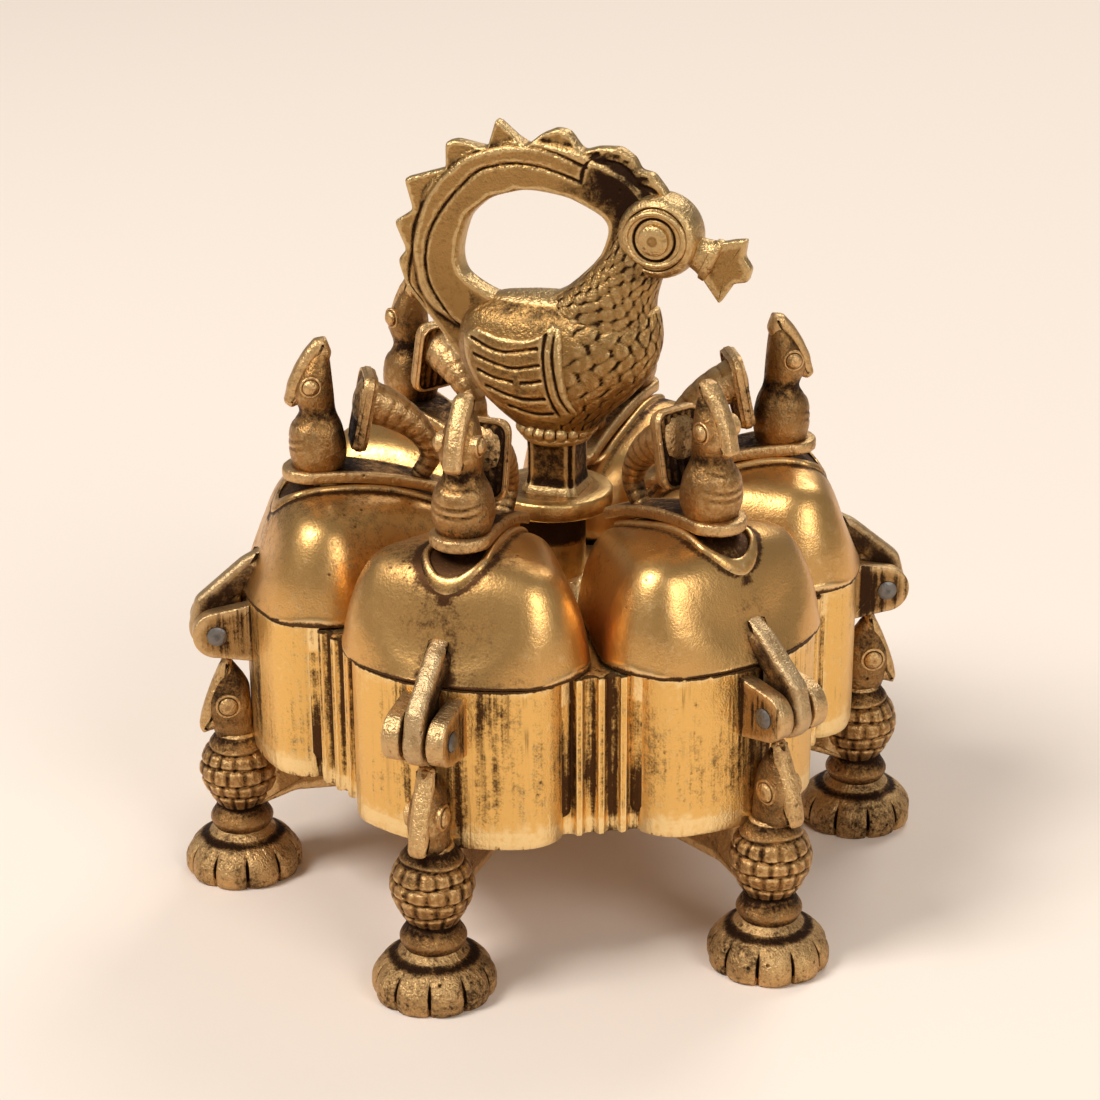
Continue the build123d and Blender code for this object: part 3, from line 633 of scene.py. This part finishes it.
# The peacock: the handle, one casting from the stud to the crest, chased by hand after casting.
# The chased lines hold brown tarnish and the high places are rubbed bright by fingers.
bird_at = np.array([1.0, 0, 78.3])
peacock_brass = brass("peacock_brass", (0.40, 0.225, 0.075), (0.64, 0.43, 0.19), (0.033, 0.015, 0.008),
                      reach=0.08, tarnish=0.28, mottle=90, grain=800, smooth=0.36, rough=0.62, pits=0.7, bump=0.5)


def from_line(x, z, points):
    """How far each place lies from a run of straight pieces, in millimetres."""
    points = np.asarray(points, float)
    near = np.full(np.shape(x), 1e9)
    for p, q in zip(points, points[1:]):
        along, long = q - p, ((q - p) ** 2).sum()
        t = np.clip(((x - p[0]) * along[0] + (z - p[1]) * along[1]) / long, 0, 1)
        near = np.minimum(near, np.hypot(x - p[0] - t * along[0], z - p[1] - t * along[1]))
    return near


def chased(x, z, lines, depth=0.4, width=0.32):
    """A chased line's cut: the depth times exp(-(distance / width)^2), over several lines, each a
    smooth curve through its points."""
    curves = [smooth(np.linspace(0, len(p) - 1, 8 * len(p)), np.arange(len(p)), p) for p in lines]
    return depth * np.exp(-((np.minimum.reduce([from_line(x, z, p) for p in curves]) / width) ** 2))


def pillows(u, v, wide, high):
    """Rows of small round scales, each row half a scale on from the last: 1 on a scale's middle
    and 0 in the furrow between scales, from the distance to the nearest middle."""
    near = np.full(np.broadcast(u, v).shape, 9.0)
    row = np.round(v / high)
    for j in (-1, 0, 1):
        shift = 0.5 * ((row + j) % 2)
        du = (u / wide - shift) - np.round(u / wide - shift)
        near = np.minimum(near, np.hypot(du * 1.7, v / high - row - j))
    return np.clip(1 - (near / 0.88) ** 6, 0, 1)


def tail_ring():
    """The flat tail: a band between the spiked outline and the hole, matched along rays from the
    hole's middle. Its cut lines follow two arcs round the band."""
    spikes = [(-19.3, 23.6), (-24.3, 30.2), (-30.8, 37.8), (-32.4, 42.8), (-30.6, 45.0), (-33.0, 50.3),
              (-29.0, 53.0), (-30.7, 58.9), (-22.0, 61.7), (-22.0, 66.6), (-19.8, 67.3), (-13.4, 66.2),
              (-11.6, 71.9), (-5.6, 67.1), (-2.6, 69.6), (0.4, 70.9), (2.8, 70.5), (5.5, 67.0),
              (8.7, 68.0), (13.0, 68.2), (15.8, 66.5), (16.9, 64.2), (19.5, 63.8), (22.0, 60.8),
              (22.7, 59.2), (16.0, 47.7), (8.0, 38.7), (2.0, 27.7)]
    hole = [(-19.6, 45.6), (-17.6, 52.7), (-12.8, 56.9), (-5.3, 59.1), (2.8, 58.3), (10.1, 55.1),
            (11.5, 53.1), (9.5, 47.3), (3.7, 41.3), (-3.4, 37.7), (-12.6, 38.0), (-18.8, 41.3)]
    outer, inner = eased(np.array(spikes)[::-1], 0.5, 2), eased(np.array(hole), 0.4, 30)
    middle = np.array([-4.3, 48.0])
    ray = outer - middle
    bearing = np.maximum.accumulate(np.unwrap(np.arctan2(ray[:, 1], ray[:, 0])))
    bearing = 0.96 * bearing + 0.04 * np.linspace(bearing[0], bearing[0] + 2 * np.pi, len(bearing))
    angle = np.arctan2(*(inner - middle).T[::-1])
    order = np.argsort(angle)
    reach = np.interp(bearing, angle[order], np.hypot(*(inner - middle).T)[order], period=2 * np.pi)
    within = middle + reach[:, None] * np.stack([np.cos(bearing), np.sin(bearing)], -1)
    face = np.concatenate([[1, 0.985], np.linspace(0.95, 0.05, 38), [0.015, 0]])
    level = np.concatenate([[0.45, 0.8], np.ones(38), [0.8, 0.45]]) * 2.5
    plan = within + face[:, None, None] * (outer - within)
    x, z = plan[..., 0], plan[..., 1]
    cut = chased(x, z, [
        [(-25.5, 31), (-27.3, 34.9), (-30, 38.7), (-29.2, 44.7), (-27.9, 51.7), (-23.6, 58.9), (-19.4, 63.1),
         (-15.3, 65.4), (-11.2, 66.8), (-7.2, 67.3), (-2.2, 67.2), (2.8, 65.8), (6.7, 64.3)],
        [(-19, 31), (-21.7, 33.5), (-25.3, 39.1), (-26, 45), (-24.4, 50.7), (-20.6, 56.3), (-15.4, 61.5),
         (-11.3, 63.2), (-7.2, 63.9), (-2.2, 63.6), (2.8, 62.4), (5.7, 61.4)],
        [(5.7, 61.4), (6.5, 64.5), (8.7, 66.8)],
        [(7.4, 66.0), (9.5, 65.4), (12.4, 65.3), (14.8, 64.0), (16.4, 61.8)],
        [(15.2, 62.8), (17.2, 61.4), (19.4, 60.9), (21.4, 59.0)],
    ])
    comb = np.clip(face[:, None] * 8 - 6.4, 0, 1) * np.clip((z - 40) / 3, 0, 1) * np.clip((22 - x) / 3, 0, 1)
    cut = cut + 0.09 * comb * (0.5 + 0.5 * np.sin(bearing * 95 + 3 * np.sin(bearing * 7) + x)) ** 3
    off_hole = np.clip((from_line(x, z, hole + hole[:1]) - 8.3) / 1.6, 0, 1)
    thin = 1 - 0.4 * off_hole * off_hole * (3 - 2 * off_hole)
    side = np.where(np.abs(face[:, None] - 0.5) < 0.46, 1, 0)
    depth = level[:, None] * thin - cut * side
    top = np.dstack([x, z, depth])
    low = np.dstack([x, z, -depth])[::-1]
    return weave(np.concatenate([low[-1:], top, low[:-1]]), "wrap")


def breast_edge(x, z):
    """Half the breast's width at a place in side view, by its sections' rounded squares."""
    levels = np.array([(13.2, -8, 8.4, 6.4), (16.3, -12, 10.9, 8.1), (20.7, -16.8, 15.6, 9.4), (25.7, -19.4, 19.4, 9.4),
                       (30.7, -19.6, 21, 8.8), (34.7, -18, 21.1, 7.4), (37.9, -13, 20.6, 4.6)])
    back, front, half = smooth(np.ravel(z), levels[:, 0], levels[:, 1:]).T.reshape(3, *np.shape(z))
    u = np.clip(np.abs((2 * x - front - back) / (front - back)), 0, 1)
    return half * (1 - u**2.3) ** (1 / 2.3)


def breast():
    """The full body: sections as in breast_edge, with scales on the front and the neck's foot."""
    def skin(at, a, r, z):
        x = r + 17 * np.cos(a)
        front = np.clip((x - 2.5) / 3, 0, 1)
        return 0.5 * (pillows(a * 13 + 0.5 * np.sin(z), z + 0.4 * np.sin(11 * a), 3.3, 2.8) - 0.8) * front
    return loft([(0.2, 13.2, 90, 8.2, 6.4), (-0.55, 16.3, 90, 11.45, 8.1), (-0.6, 20.7, 90, 16.2, 9.4),
                 (0, 25.7, 90, 19.4, 9.4), (0.7, 30.7, 90, 20.3, 8.8), (1.55, 34.7, 90, 19.5, 7.4),
                 (3.8, 37.9, 90, 16.8, 4.6)], 96, 236, 2.3, skin)


def neck():
    """The neck, bent forward from the breast to the head, with small rough scales."""
    def skin(at, a, r, z):
        return 0.4 * (pillows(a * 7 + 0.4 * np.sin(5 * at), at * 6.2 + 0.4 * np.sin(9 * a), 2.4, 2.0) - 0.8)
    return loft([(5.4, 28.0, 74, 12.2, 7.8), (8.0, 32.4, 70, 11.6, 7.2), (11.6, 38.3, 66, 8.6, 6.3),
                 (14.6, 44.1, 62, 6.4, 5.2), (17.6, 50.7, 60, 5.6, 3.9), (19.4, 55.4, 80, 4.6, 3.0)], 100, 136, 2.3, skin)


def wing(side):
    """A wing on one flank: a sheet that stands 0.9 off the breast and sinks into it at its edge,
    with five long feather lines and a double border in front."""
    plan = eased(np.array([(-17.4, 31.0), (-16.6, 26.0), (-14.0, 21.5), (-9.5, 17.9), (-3.0, 15.9), (3.0, 15.6),
                           (7.4, 17.6), (5.8, 21.0), (4.9, 25.5), (4.4, 30.5), (4.0, 34.6), (2.4, 35.6), (0.4, 33.4),
                           (-3.5, 31.9), (-9.0, 32.0), (-14.0, 33.0)]), 0.45, 4)
    middle = np.array([-4.6, 25.4])
    share = np.concatenate([np.linspace(0.04, 0.9, 34), [0.95, 0.985, 1.0]])
    grid = middle + share[:, None, None] * (plan - middle)
    x, z = grid[..., 0], grid[..., 1]
    lines = [[(-15, 30.8), (-8, 29.2), (-0.6, 30.6)], [(-14, 27.7), (-6, 26.3), (0.0, 27.5)],
             [(-13, 24.8), (-9, 23.9), (-5.5, 23.7)], [(-3.5, 23.7), (-1.5, 24), (0.4, 24.5)],
             [(-11.2, 22.0), (-4, 20.5), (1.2, 21.0)], [(-6.4, 18.6), (-1, 17.6), (2.6, 18)],
             [(2.9, 35), (2.5, 30.5), (3.1, 25.5), (4.3, 21), (6.2, 17.6)],
             [(1.0, 33.2), (0.7, 30), (1.2, 25), (2.4, 20.5), (4, 17)]]
    rise = np.array([1.0] * 34 + [0.8, 0.35, -0.5])[:, None] * 0.8
    out = breast_edge(x, z) + rise - chased(x, z, lines, 0.42, 0.36)
    sparse = np.append(np.arange(0, 36, 6), 36)
    back = np.dstack([x, z, breast_edge(x, z) - 1.6])[sparse]
    rows = np.concatenate([back, np.dstack([x, z, out])[::-1]])
    p, groups = on_side(weave(rows))
    if side > 0:
        return p * (1, -1, 1), [g[:, ::-1] for g in groups]
    return p, groups


def ring(radius, tube_radius, rise=0.0, beads=0, sides=96):
    """A round ring: a small circle carried round the axis, pinched between its beads."""
    a = np.linspace(0, 2 * np.pi, sides, endpoint=False)
    b = np.linspace(0, 2 * np.pi, 16, endpoint=False)[:, None]
    size = tube_radius * (1 if not beads else 0.55 + 0.45 * np.abs(np.sin(beads * a / 2)) ** 0.6)
    r = radius + size * np.cos(b)
    x = r * np.cos(a)
    return weave(np.stack([x, r * np.sin(a), rise + size * np.sin(b) + 0 * x], -1), "wrap")


def head_and_eyes():
    """The head: a turned lens on its side with a ring and a button on both cheeks."""
    cheek = [(-4.6, 2.6), (-4.6, 3.1), (-4.6, 3.6), (-4.15, 3.95), (-4.5, 4.4), (-4.5, 5.0), (-4.45, 5.6), (-4.05, 5.95),
             (-4.25, 6.3), (-4.0, 6.9), (-3.4, 7.4), (-2.4, 7.8), (-1.2, 8.0), (0, 8.05)]
    shells = [spun(cheek + [(-z, r) for z, r in cheek[-2::-1]], 96)]
    for flip in (1, -1):
        p, groups = ring(4.95, 0.55, -4.35)
        shells.append((p * (1.14, 1, flip), [g[:, ::flip] for g in groups]))
        p, groups = spun([(4.2, 2.9), (4.8, 3.0), (5.3, 2.85), (5.6, 2.3), (5.72, 1.5), (5.68, 0.8), (5.74, 0.4)], 48)
        shells.append((p * (1, 1, -flip), [g[:, ::-flip] for g in groups]))
    return [on_side(s, (20.9, 0, 52.3)) for s in shells]


leaf_plan = eased(np.array([(29.2, 44.8), (32.6, 40.3), (35.3, 44.4), (38.0, 44.9), (38.7, 47.4), (37.2, 49.6),
                            (37.7, 52.9), (35.3, 52.6), (32.2, 51.8), (30, 50)]), 0.35, 2)
beak_band = loft([(25.6, 50.4, -27, 3.0, 2.6), (27.6, 49.7, -27, 3.05, 2.4), (29.8, 48.8, -27, 3.7, 2.3),
                  (30.2, 48.6, -27, 4.3, 2.5), (31.2, 48.2, -27, 4.5, 2.4)], 30, 36, 2.2)
quarter = [(4.9, -3.8), (4.9, 3.8)] + [tuple(p) for p in arc(4.9, 4.9, 1.1, 270, 180, 7)] + [(3.8, 4.9)]
square = np.concatenate([np.array(quarter) @ np.array([[np.cos(t), np.sin(t)], [-np.sin(t), np.cos(t)]])
                         for t in np.radians([0, 90, 180, 270])])
square = eased(square, 0.35, 1)
rises = np.linspace(0, 12.5, 26)
flare = smooth(rises, (0, 0.7, 1.5, 2.5, 4, 9, 12.5), (1.2, 1.17, 1.07, 1.01, 1.0, 1.0, 1.04))
post = weave([np.column_stack([square * s, np.full(len(square), z)]) for z, s in zip(rises, flare)])
bird_shells = [on_side(tail_ring()), breast(), neck(), *head_and_eyes(), wing(1), wing(-1),
               on_side(slab(leaf_plan, -1.1, 1.1, 0.35)), beak_band, post,
               ring(6.6, 1.5, 12.7, 20, 200), ring(5.9, 1.0, 11.1, 0, 80)]
bird_shells = [moved(s, bird_at) for s in bird_shells]
bird_shells.append(spun([(23.5, 2.2), (23.8, 2.5), (50, 2.5), (79, 2.5)], 32))


def handle_stain_and_shade(x, y, z):
    """Tarnish and painted shade on the handle: on the post, under the breast and in the crook of the neck."""
    # Tarnish and painted shade on the post and under the breast.
    low = np.clip((93 - z) / 4, 0, 1) + 0.5 * np.clip((99 - z) / 6, 0, 1)
    # Tarnish and painted shade in the crook of the neck.
    crook = np.exp(-(((x - 16) / 5) ** 2) - ((z - 139) / 5) ** 2)
    saddle = np.exp(-(((z - 115) / 3.5) ** 2)) * (np.abs(x + 2) < 14) * 0.75
    leaf = np.clip((x - 31) / 2, 0, 1)
    crown = np.exp(-(((x - 12) / 8) ** 2) - ((z - 143) / 6) ** 2)
    tail = np.clip((z - 110) / 8, 0, 1) * np.clip((7 - x) / 6, 0, 1)
    from_eye = np.hypot(x - 21.9, z - 130.6)
    cheek = np.clip((from_eye - 5.4) / 1.2, 0, 1) * (from_eye < 9)
    return 0.55 * low + 0.9 * crook + saddle + 0.75 * crown + 0.55 * cheek - 0.9 * leaf - 0.7 * tail


peacock = make("peacock", bird_shells, peacock_brass, "box", stain_and_shade=handle_stain_and_shade)
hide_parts("peacock_handle")

# The lids: thin domed castings, turned over a former and polished, each with a leaf-shaped lip
# round the bird's perch and a hammered lever that runs down in front round the hinge pin.
lid_z, crown_z, seat_r = 61.05, 81.95, 44.0
petal_line = petal(0, 0.7, 2)


def dome_height(x, y, drop=0.0):
    """A lid's outside: the lower of a rounded side, by the distance in from the rim, and of an
    arch over the crown, blended softly. The inside is the same, drawn in and down by a drop."""
    flat = np.stack([np.ravel(x), np.ravel(y)], -1)
    inset = np.sqrt(((flat[:, None] - petal_line[None]) ** 2).sum(-1).min(1)).reshape(np.shape(x)) - drop
    dents = 0.22 * np.sin(0.31 * x + 0.9) * np.cos(0.27 * y + 0.6) + 0.12 * np.sin(0.5 * y + 0.21 * x)
    knots = np.array([(0, 61.05, 61.05), (0.4, 61.9, 64), (1.1, 63.3, 67.8), (2.2, 65.4, 71.6), (3.4, 68.2, 74.6),
                      (4.6, 71.9, 76.9), (5.9, 75.4, 78.8), (7.8, 78.7, 80.8), (10, 81.4, 82.4), (12.5, 83.4, 84),
                      (30, 88, 88)])
    front = np.clip((x - 44) / 15, 0, 1)
    front = (front * front * (3 - 2 * front) / (1 + (y / 12) ** 4)).ravel()
    both = smooth(np.clip(inset, 0, 30).ravel(), knots[:, 0], knots[:, 1:])
    side = (front * both[:, 0] + (1 - front) * both[:, 1]).reshape(np.shape(x)) - 0.5 * drop
    arch = crown_z + 0.55 - drop - (x - seat_r) ** 2 / 86 - y**2 / 190
    soft = 1.5
    return -soft * np.logaddexp(-side / soft, -arch / soft) + dents * np.clip(inset / 6, 0, 1)


def lid_dome():
    """The shell of a lid, from the middle of its hollow out to the rim and up to the crown."""
    centre = np.array([41.5, 0.0])

    def level(inset, share, drop, z=None):
        plan = centre + (petal(min(inset, 9.5)) - centre) * share
        height = dome_height(*plan.T, drop) if z is None else np.full(len(plan), z)
        return np.column_stack([plan, height])

    crown = np.linspace(0.04, 0.98, 38)
    insides = [level(9.5, s, 2.0) for s in crown[::3]]
    insides += [level(i, 1, 2.0) for i in (8.5, 7.5, 6.5, 5.5, 4.5, 3.5, 2.8, 2.3)]
    rim = [level(2.0, 1, 0, lid_z + 0.4), level(1.8, 1, 0, lid_z), level(0.2, 1, 0, lid_z), level(0.03, 1, 0, lid_z + 0.15)]
    sides = [level(i, 1, 0) for i in np.concatenate([[0.0, 0.1, 0.22, 0.36], np.linspace(0.55, 3.4, 14),
                                                     np.linspace(3.7, 9.3, 24)])]
    outsides = [level(9.5, s, 0) for s in crown[::-1]]
    return weave(insides + rim + sides + outsides)


def leaf_line(front_x, front, back_x, back):
    """A leaf outline: two round ends joined by straight sides, anticlockwise."""
    return eased(np.vstack([arc(front_x, 0, front, -80, 80, 20), arc(back_x, 0, back, 100, 260, 14)]), 0.4, 3)


def lip():
    """The lip: a rounded ridge carried along the leaf line, standing 0.85 above the dome."""
    line_at = drawn_in(leaf_line(48.5, 6.8, 24.0, 3.9), 0.85)
    b = np.radians(np.arange(0, 360, 30))
    rows = []
    for t in b:
        plan = drawn_in(line_at, -0.85 * np.cos(t))
        rise = 0.85 * np.sin(t) if np.sin(t) > 0 else 0.6 * np.sin(t)
        rows.append(np.column_stack([plan, dome_height(*plan.T) + rise]))
    return weave(rows, "wrap")


lever_plan = eased(np.vstack([
    arc(hinge_r, hinge_z, 5.2, 180, 360, 16), [(70.8, 59.4), (61.5, 67.1), (57.4, 69.2), (59.6, 61.05), (62, 61.05)]]), 0.4, 4)
flared_arm = loft([(56.6, 66.4, -33, 1.6, 3.1), (59.0, 64.9, -36, 2.2, 2.7), (62.0, 62.7, -39, 2.5, 2.2),
                   (65.2, 60.1, -42, 2.5, 1.95), (68.0, 57.3, -50, 2.2, 1.8)], 30, 40, 2.6)
lever = [on_side(slab(lever_plan, -1.9, 1.9, 1.1)), flared_arm]
lever_brass = brass("lever_brass", (0.37, 0.21, 0.08), (0.60, 0.41, 0.21), (0.05, 0.024, 0.012),
                    reach=0.3, tarnish=0.3, mottle=140, grain=420, smooth=0.45, rough=0.66, bump=0.55)
lid_shells = [lid_dome(), lip(), moved(spun([(-1.2, 3.6), (0.8, 3.6), (1.05, 3.4), (1.1, 2.5)], 40), (seat_r, 0, crown_z))]
lid_brass = brass("lid_brass", (0.72, 0.41, 0.14), (0.88, 0.60, 0.29), (0.08, 0.035, 0.014),
                  reach=0.5, tarnish=-0.2, mottle=24, smooth=0.35, rough=0.55, pits=0.8, bump=0.12)


def lever_stain(x, y, z):
    """Tarnish on the lever: dark on both sides, rubbed along its back."""
    across, out = across_sector(x, y)
    return 1.0 * np.clip((across - 1.1) / 0.7, 0, 1) - 0.25 * (across < 1)


def lid_stain_and_shade(x, y, z):
    """Tarnish and painted shade on a lid: a painted shadow of the gap at the rim, shade outside the lip
    and round the lever's root, a painted shadow under the perch inside the lip, a darker band just above
    the rim towards the front, tarnish beside the lip, and bare metal on the shoulders. Bearings are folded into one
    sector."""
    bearing = (np.arctan2(x, -y) + np.pi / 6) % (np.pi / 3) - np.pi / 6
    r = np.hypot(x, y)
    out, across = r * np.cos(bearing), np.abs(r * np.sin(bearing))
    # Painted shadow of the gap between lid and box, on the lid's lowest 0.6 mm.
    gap_shadow = np.clip((lid_z + 0.6 - z) / 0.3, 0, 1)
    leaf = np.where(out < 48.5, 3.9 + 2.9 * (out - 24) / 24.5, np.sqrt(np.maximum(6.8**2 - (out - 48.5) ** 2, 0)))
    near_lip = np.exp(-(((across - leaf - 0.5) / 0.8) ** 2)) * (z > 70) * (out < 56)
    # Painted shadow under the perch, inside the lip.
    inside_lip = np.clip((leaf - 1.6 - across) / 0.6, 0, 1) * (z > 70) * (out < 53.7)
    root = np.exp(-(((across - 2.3) / 1.4) ** 2) - ((out - 60.5) / 2.5) ** 2) * (z > 61.6)
    low = 0.35 * np.exp(-(((z - 62.4) / 1.2) ** 2)) * (out > 52)
    speckled = 0.5 * np.exp(-(((across - leaf) / 5) ** 2)) * (z > 70) * (out > 46)
    return 4 * gap_shadow + 1.6 * near_lip + 1.5 * inside_lip + 1.3 * root + low + speckled


for k in range(6):
    lid = make(f"domed_lid_{k + 1}", around(lid_shells, k), lid_brass, f"lid_body_{k + 1}", 50, stain_and_shade=lid_stain_and_shade)
    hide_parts(f"lid_{k + 1}")
    arm = make(f"lid_lever_{k + 1}", around(lever, k), lever_brass, f"lid_body_{k + 1}", stain_and_shade=lever_stain)

# The bird finials: solid castings on a bent leaf-shaped perch, each held by a tenon through the
# lid's crown that is burnished over inside. An upright fan stands behind the bird and its tail
# loops back down to the perch.
finial_at = np.array([seat_r, 0, 83.05])
finial_brass = brass("finial_brass", (0.36, 0.185, 0.06), (0.68, 0.43, 0.19), (0.03, 0.014, 0.008),
                     reach=0.16, tarnish=0.4, mottle=100, grain=800, smooth=0.4, rough=0.64,
                     pits=0.9, bump=0.45)


def perch():
    """The perch: a leaf whose two faces bend over a cylinder of radius 75 across the lid."""
    plan = leaf_line(2.8, 6.0, -25.0, 2.4)
    middle = np.array([-6.0, 0])
    rows = []
    faces = ((np.linspace(0.08, 0.9, 12), 0.0), (np.linspace(0.9, 0.08, 12), 2.3))
    for shares, lift in faces:
        for s in shares:
            rows.append((middle + (drawn_in(plan, 0.4) - middle) * s, lift))
        if lift == 0:
            rows += [(drawn_in(plan, 0.4), 0), (drawn_in(plan, 0.1), 0.25), (plan, 0.7), (plan, 1.6),
                     (drawn_in(plan, 0.1), 2.05), (drawn_in(plan, 0.4), 2.3)]
    return weave([np.column_stack([p, 0.3 - 75 + lift + np.sqrt(75**2 - (p[:, 0] - 4.5) ** 2)])
                  for p, lift in rows])


def fan():
    """The fan behind the bird: a rounded plate with a raised rim and upright ribs, leaned back."""
    plan = eased(np.array([(5.4, -6.2), (5.4, 6.2), (4.2, 7.6), (-4.2, 7.6), (-5.4, 6.2), (-5.4, -6.2),
                           (-4.2, -7.6), (4.2, -7.6)]), 0.45, 6)
    share = np.concatenate([np.linspace(0.05, 0.95, 22), [0.98, 1.0]])
    x, y = np.moveaxis(share[:, None, None] * plan, -1, 0)
    rim = 0.5 * np.exp(-(((share[:, None] - 0.93) / 0.06) ** 2)) - 0.5 * (share[:, None] > 0.97)
    rib = 0.28 * np.abs(np.sin(x * 1.9)) * (share[:, None] < 0.84)
    top, low = 1.2 + rim - 0.3 + rib, -1.2 - rim + 0.3 - rib
    p, groups = weave(np.concatenate([np.dstack([x, y, low]), np.dstack([x, y, top])[::-1]]))
    lean = np.radians(12)
    along, up = np.array([0, 1, 0]), np.array([-np.sin(lean), 0, np.cos(lean)])
    face = np.cross(along, up)
    return p[:, :1] * along + p[:, 1:2] * up + p[:, 2:] * face + (-7.25, 0, 13.1), groups


def finial_skin(at, a, r, z):
    """The finial's chasing: three short creases on the breast, cut 0.2 deep."""
    side = 5 * np.sin(a)
    return -0.2 * sum(np.exp(-(((z - h - 0.05 * side**2) / 0.3) ** 2)) for h in (6.5, 8.0, 11.2)) \
        * np.clip(np.cos(a) * 2 - 0.9, 0, 1)


crest_plan = eased(np.array([(2.0, 15.6), (4.6, 15.2), (6.6, 14.4), (7.9, 15.6), (7.3, 17.6), (7.0, 19.2), (5.4, 22.6),
                             (3.6, 25.4), (1.6, 27.6), (-0.6, 27.9), (-1.6, 25.0), (0.0, 20.0)]), 0.35, 2)
finial_shells = [
    perch(), fan(),
    loft([(1.6, 1.2, 90, 4.6, 4.2), (1.7, 5.5, 90, 5.5, 5.7), (1.85, 10, 90, 5.05, 5.2), (1.5, 13.4, 90, 3.5, 3.6),
          (2.25, 17.2, 90, 3.95, 4.0), (1.6, 21.4, 90, 3.0, 3.4), (0.45, 25, 90, 1.55, 1.9), (-0.4, 26.7, 90, 0.6, 0.7)],
         90, 72, 2.25, finial_skin),
    on_side(slab(crest_plan, -1.9, 1.9, 1.3)),
    loft([(-7.0, 15.2, 195, 4.4, 4.4), (-13.0, 12.4, 212, 3.6, 3.6), (-18.0, 8.0, 245, 2.7, 2.7),
          (-20.0, 3.0, 280, 2.1, 2.1), (-17.4, -1.4, 318, 1.8, 1.8)], 60, 36, 2.2,
         lambda at, a, r, z: -0.1 * (0.5 + 0.5 * np.sin(at * 17)) ** 4 + 0 * a),
    moved(spun([(-3.9, 1.0), (-3.7, 2.3), (-3.2, 2.6), (-3.1, 1.3), (0.5, 1.3)], 24), (0, 0, 0)),
]
eye = moved(on_side(button(2.1, 1.0)), (2.9, -3.6, 19.2))
finial_shells += [eye, (eye[0] * (1, -1, 1), [g[:, ::-1] for g in eye[1]])]
finial_shells = [moved(s, finial_at) for s in finial_shells]


def finial_stain_and_shade(x, y, z):
    """Tarnish and painted shade on a finial: between the bird's back and the fan, in the crease of the
    neck and on the perch; the beak's ridge is rubbed. Bearings are folded into one sector."""
    bearing = (np.arctan2(x, -y) + np.pi / 6) % (np.pi / 3) - np.pi / 6
    out, up = np.hypot(x, y) * np.cos(bearing) - seat_r, z - finial_at[2]
    # Tarnish and painted shade between the bird's back and the fan, in the crease of the neck and low on the perch.
    behind = np.exp(-(((out + 5.2) / 2.6) ** 2)) * np.clip((up - 1) / 2, 0, 1) * np.clip((21 - up) / 3, 0, 1)
    crease = np.exp(-(((up - 13.8) / 1.3) ** 2)) * (out > -4)
    perch_top = np.clip((3.2 - up) / 1, 0, 1)
    ridge = np.clip((out - 3.6) / 2, 0, 1) * np.clip((up - 14) / 3, 0, 1)
    return 1.3 * behind + 0.6 * crease + 0.45 * perch_top - 0.25 * ridge


for k in range(6):
    finial = make(f"finial_{k + 1}", around(finial_shells, k), finial_brass, f"lid_body_{k + 1}", stain_and_shade=finial_stain_and_shade)
    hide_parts(f"bird_{k + 1}")

# The stage: a pale floor, broad soft lamps, and the camera at the photograph's
# angle. The floor keeps the box's shadow.
stage_mat = bpy.data.materials.new("paper")
stage_mat.use_nodes = True
stage_mat.node_tree.nodes["Principled BSDF"].inputs["Base Color"].default_value = (0.93, 0.80, 0.685, 1)
stage_mat.node_tree.nodes["Principled BSDF"].inputs["Roughness"].default_value = 0.9
bpy.ops.mesh.primitive_plane_add(size=30, location=(0, 0, 0))
floor = bpy.context.object
floor.name = "paper_floor"
floor.data.materials.append(stage_mat)

camera = bpy.data.objects.new("camera", bpy.data.cameras.new("camera"))
bpy.context.scene.collection.objects.link(camera)
camera.data.lens = 2752.37 / 1100 * 36
camera.data.sensor_width = 36
camera.data.shift_x = -(553.405 - 550) / 1100
camera.data.shift_y = (641.437 - 550) / 1100
import mathutils
aim, at = mathutils.Vector((0, 0, 0.0448)), mathutils.Vector((0.1790, -0.4752, 0.2650))
look = (aim - at).to_track_quat("-Z", "Y")
camera.location = at
camera.rotation_euler = (look @ mathutils.Quaternion((0, 0, 1), np.radians(-0.2745))).to_euler()
bpy.context.scene.camera = camera

world = bpy.data.worlds.new("studio")
bpy.context.scene.world = world
world.use_nodes = True
world.node_tree.nodes["Background"].inputs["Color"].default_value = (1, 0.97, 0.93, 1)
world.node_tree.nodes["Background"].inputs["Strength"].default_value = 0.27


def lamp(name, place, power, size, colour=(1, 1, 1)):
    """A soft square lamp, turned to face the middle of the box."""
    light = bpy.data.lights.new(name, "AREA")
    light.energy, light.size, light.color = power, size, colour
    it = bpy.data.objects.new(name, light)
    it.location = place
    it.rotation_euler = (mathutils.Vector((0, 0, 0.06)) - it.location).to_track_quat("-Z", "Y").to_euler()
    bpy.context.scene.collection.objects.link(it)


lamp("key", (-1.0, -1.1, 1.9), 38, 0.8)
lamp("fill", (1.5, -1.0, 1.2), 14, 0.9)
lamp("back", (0.2, 1.6, 1.7), 16, 0.9)

bpy.context.scene.view_settings.view_transform = "Standard"
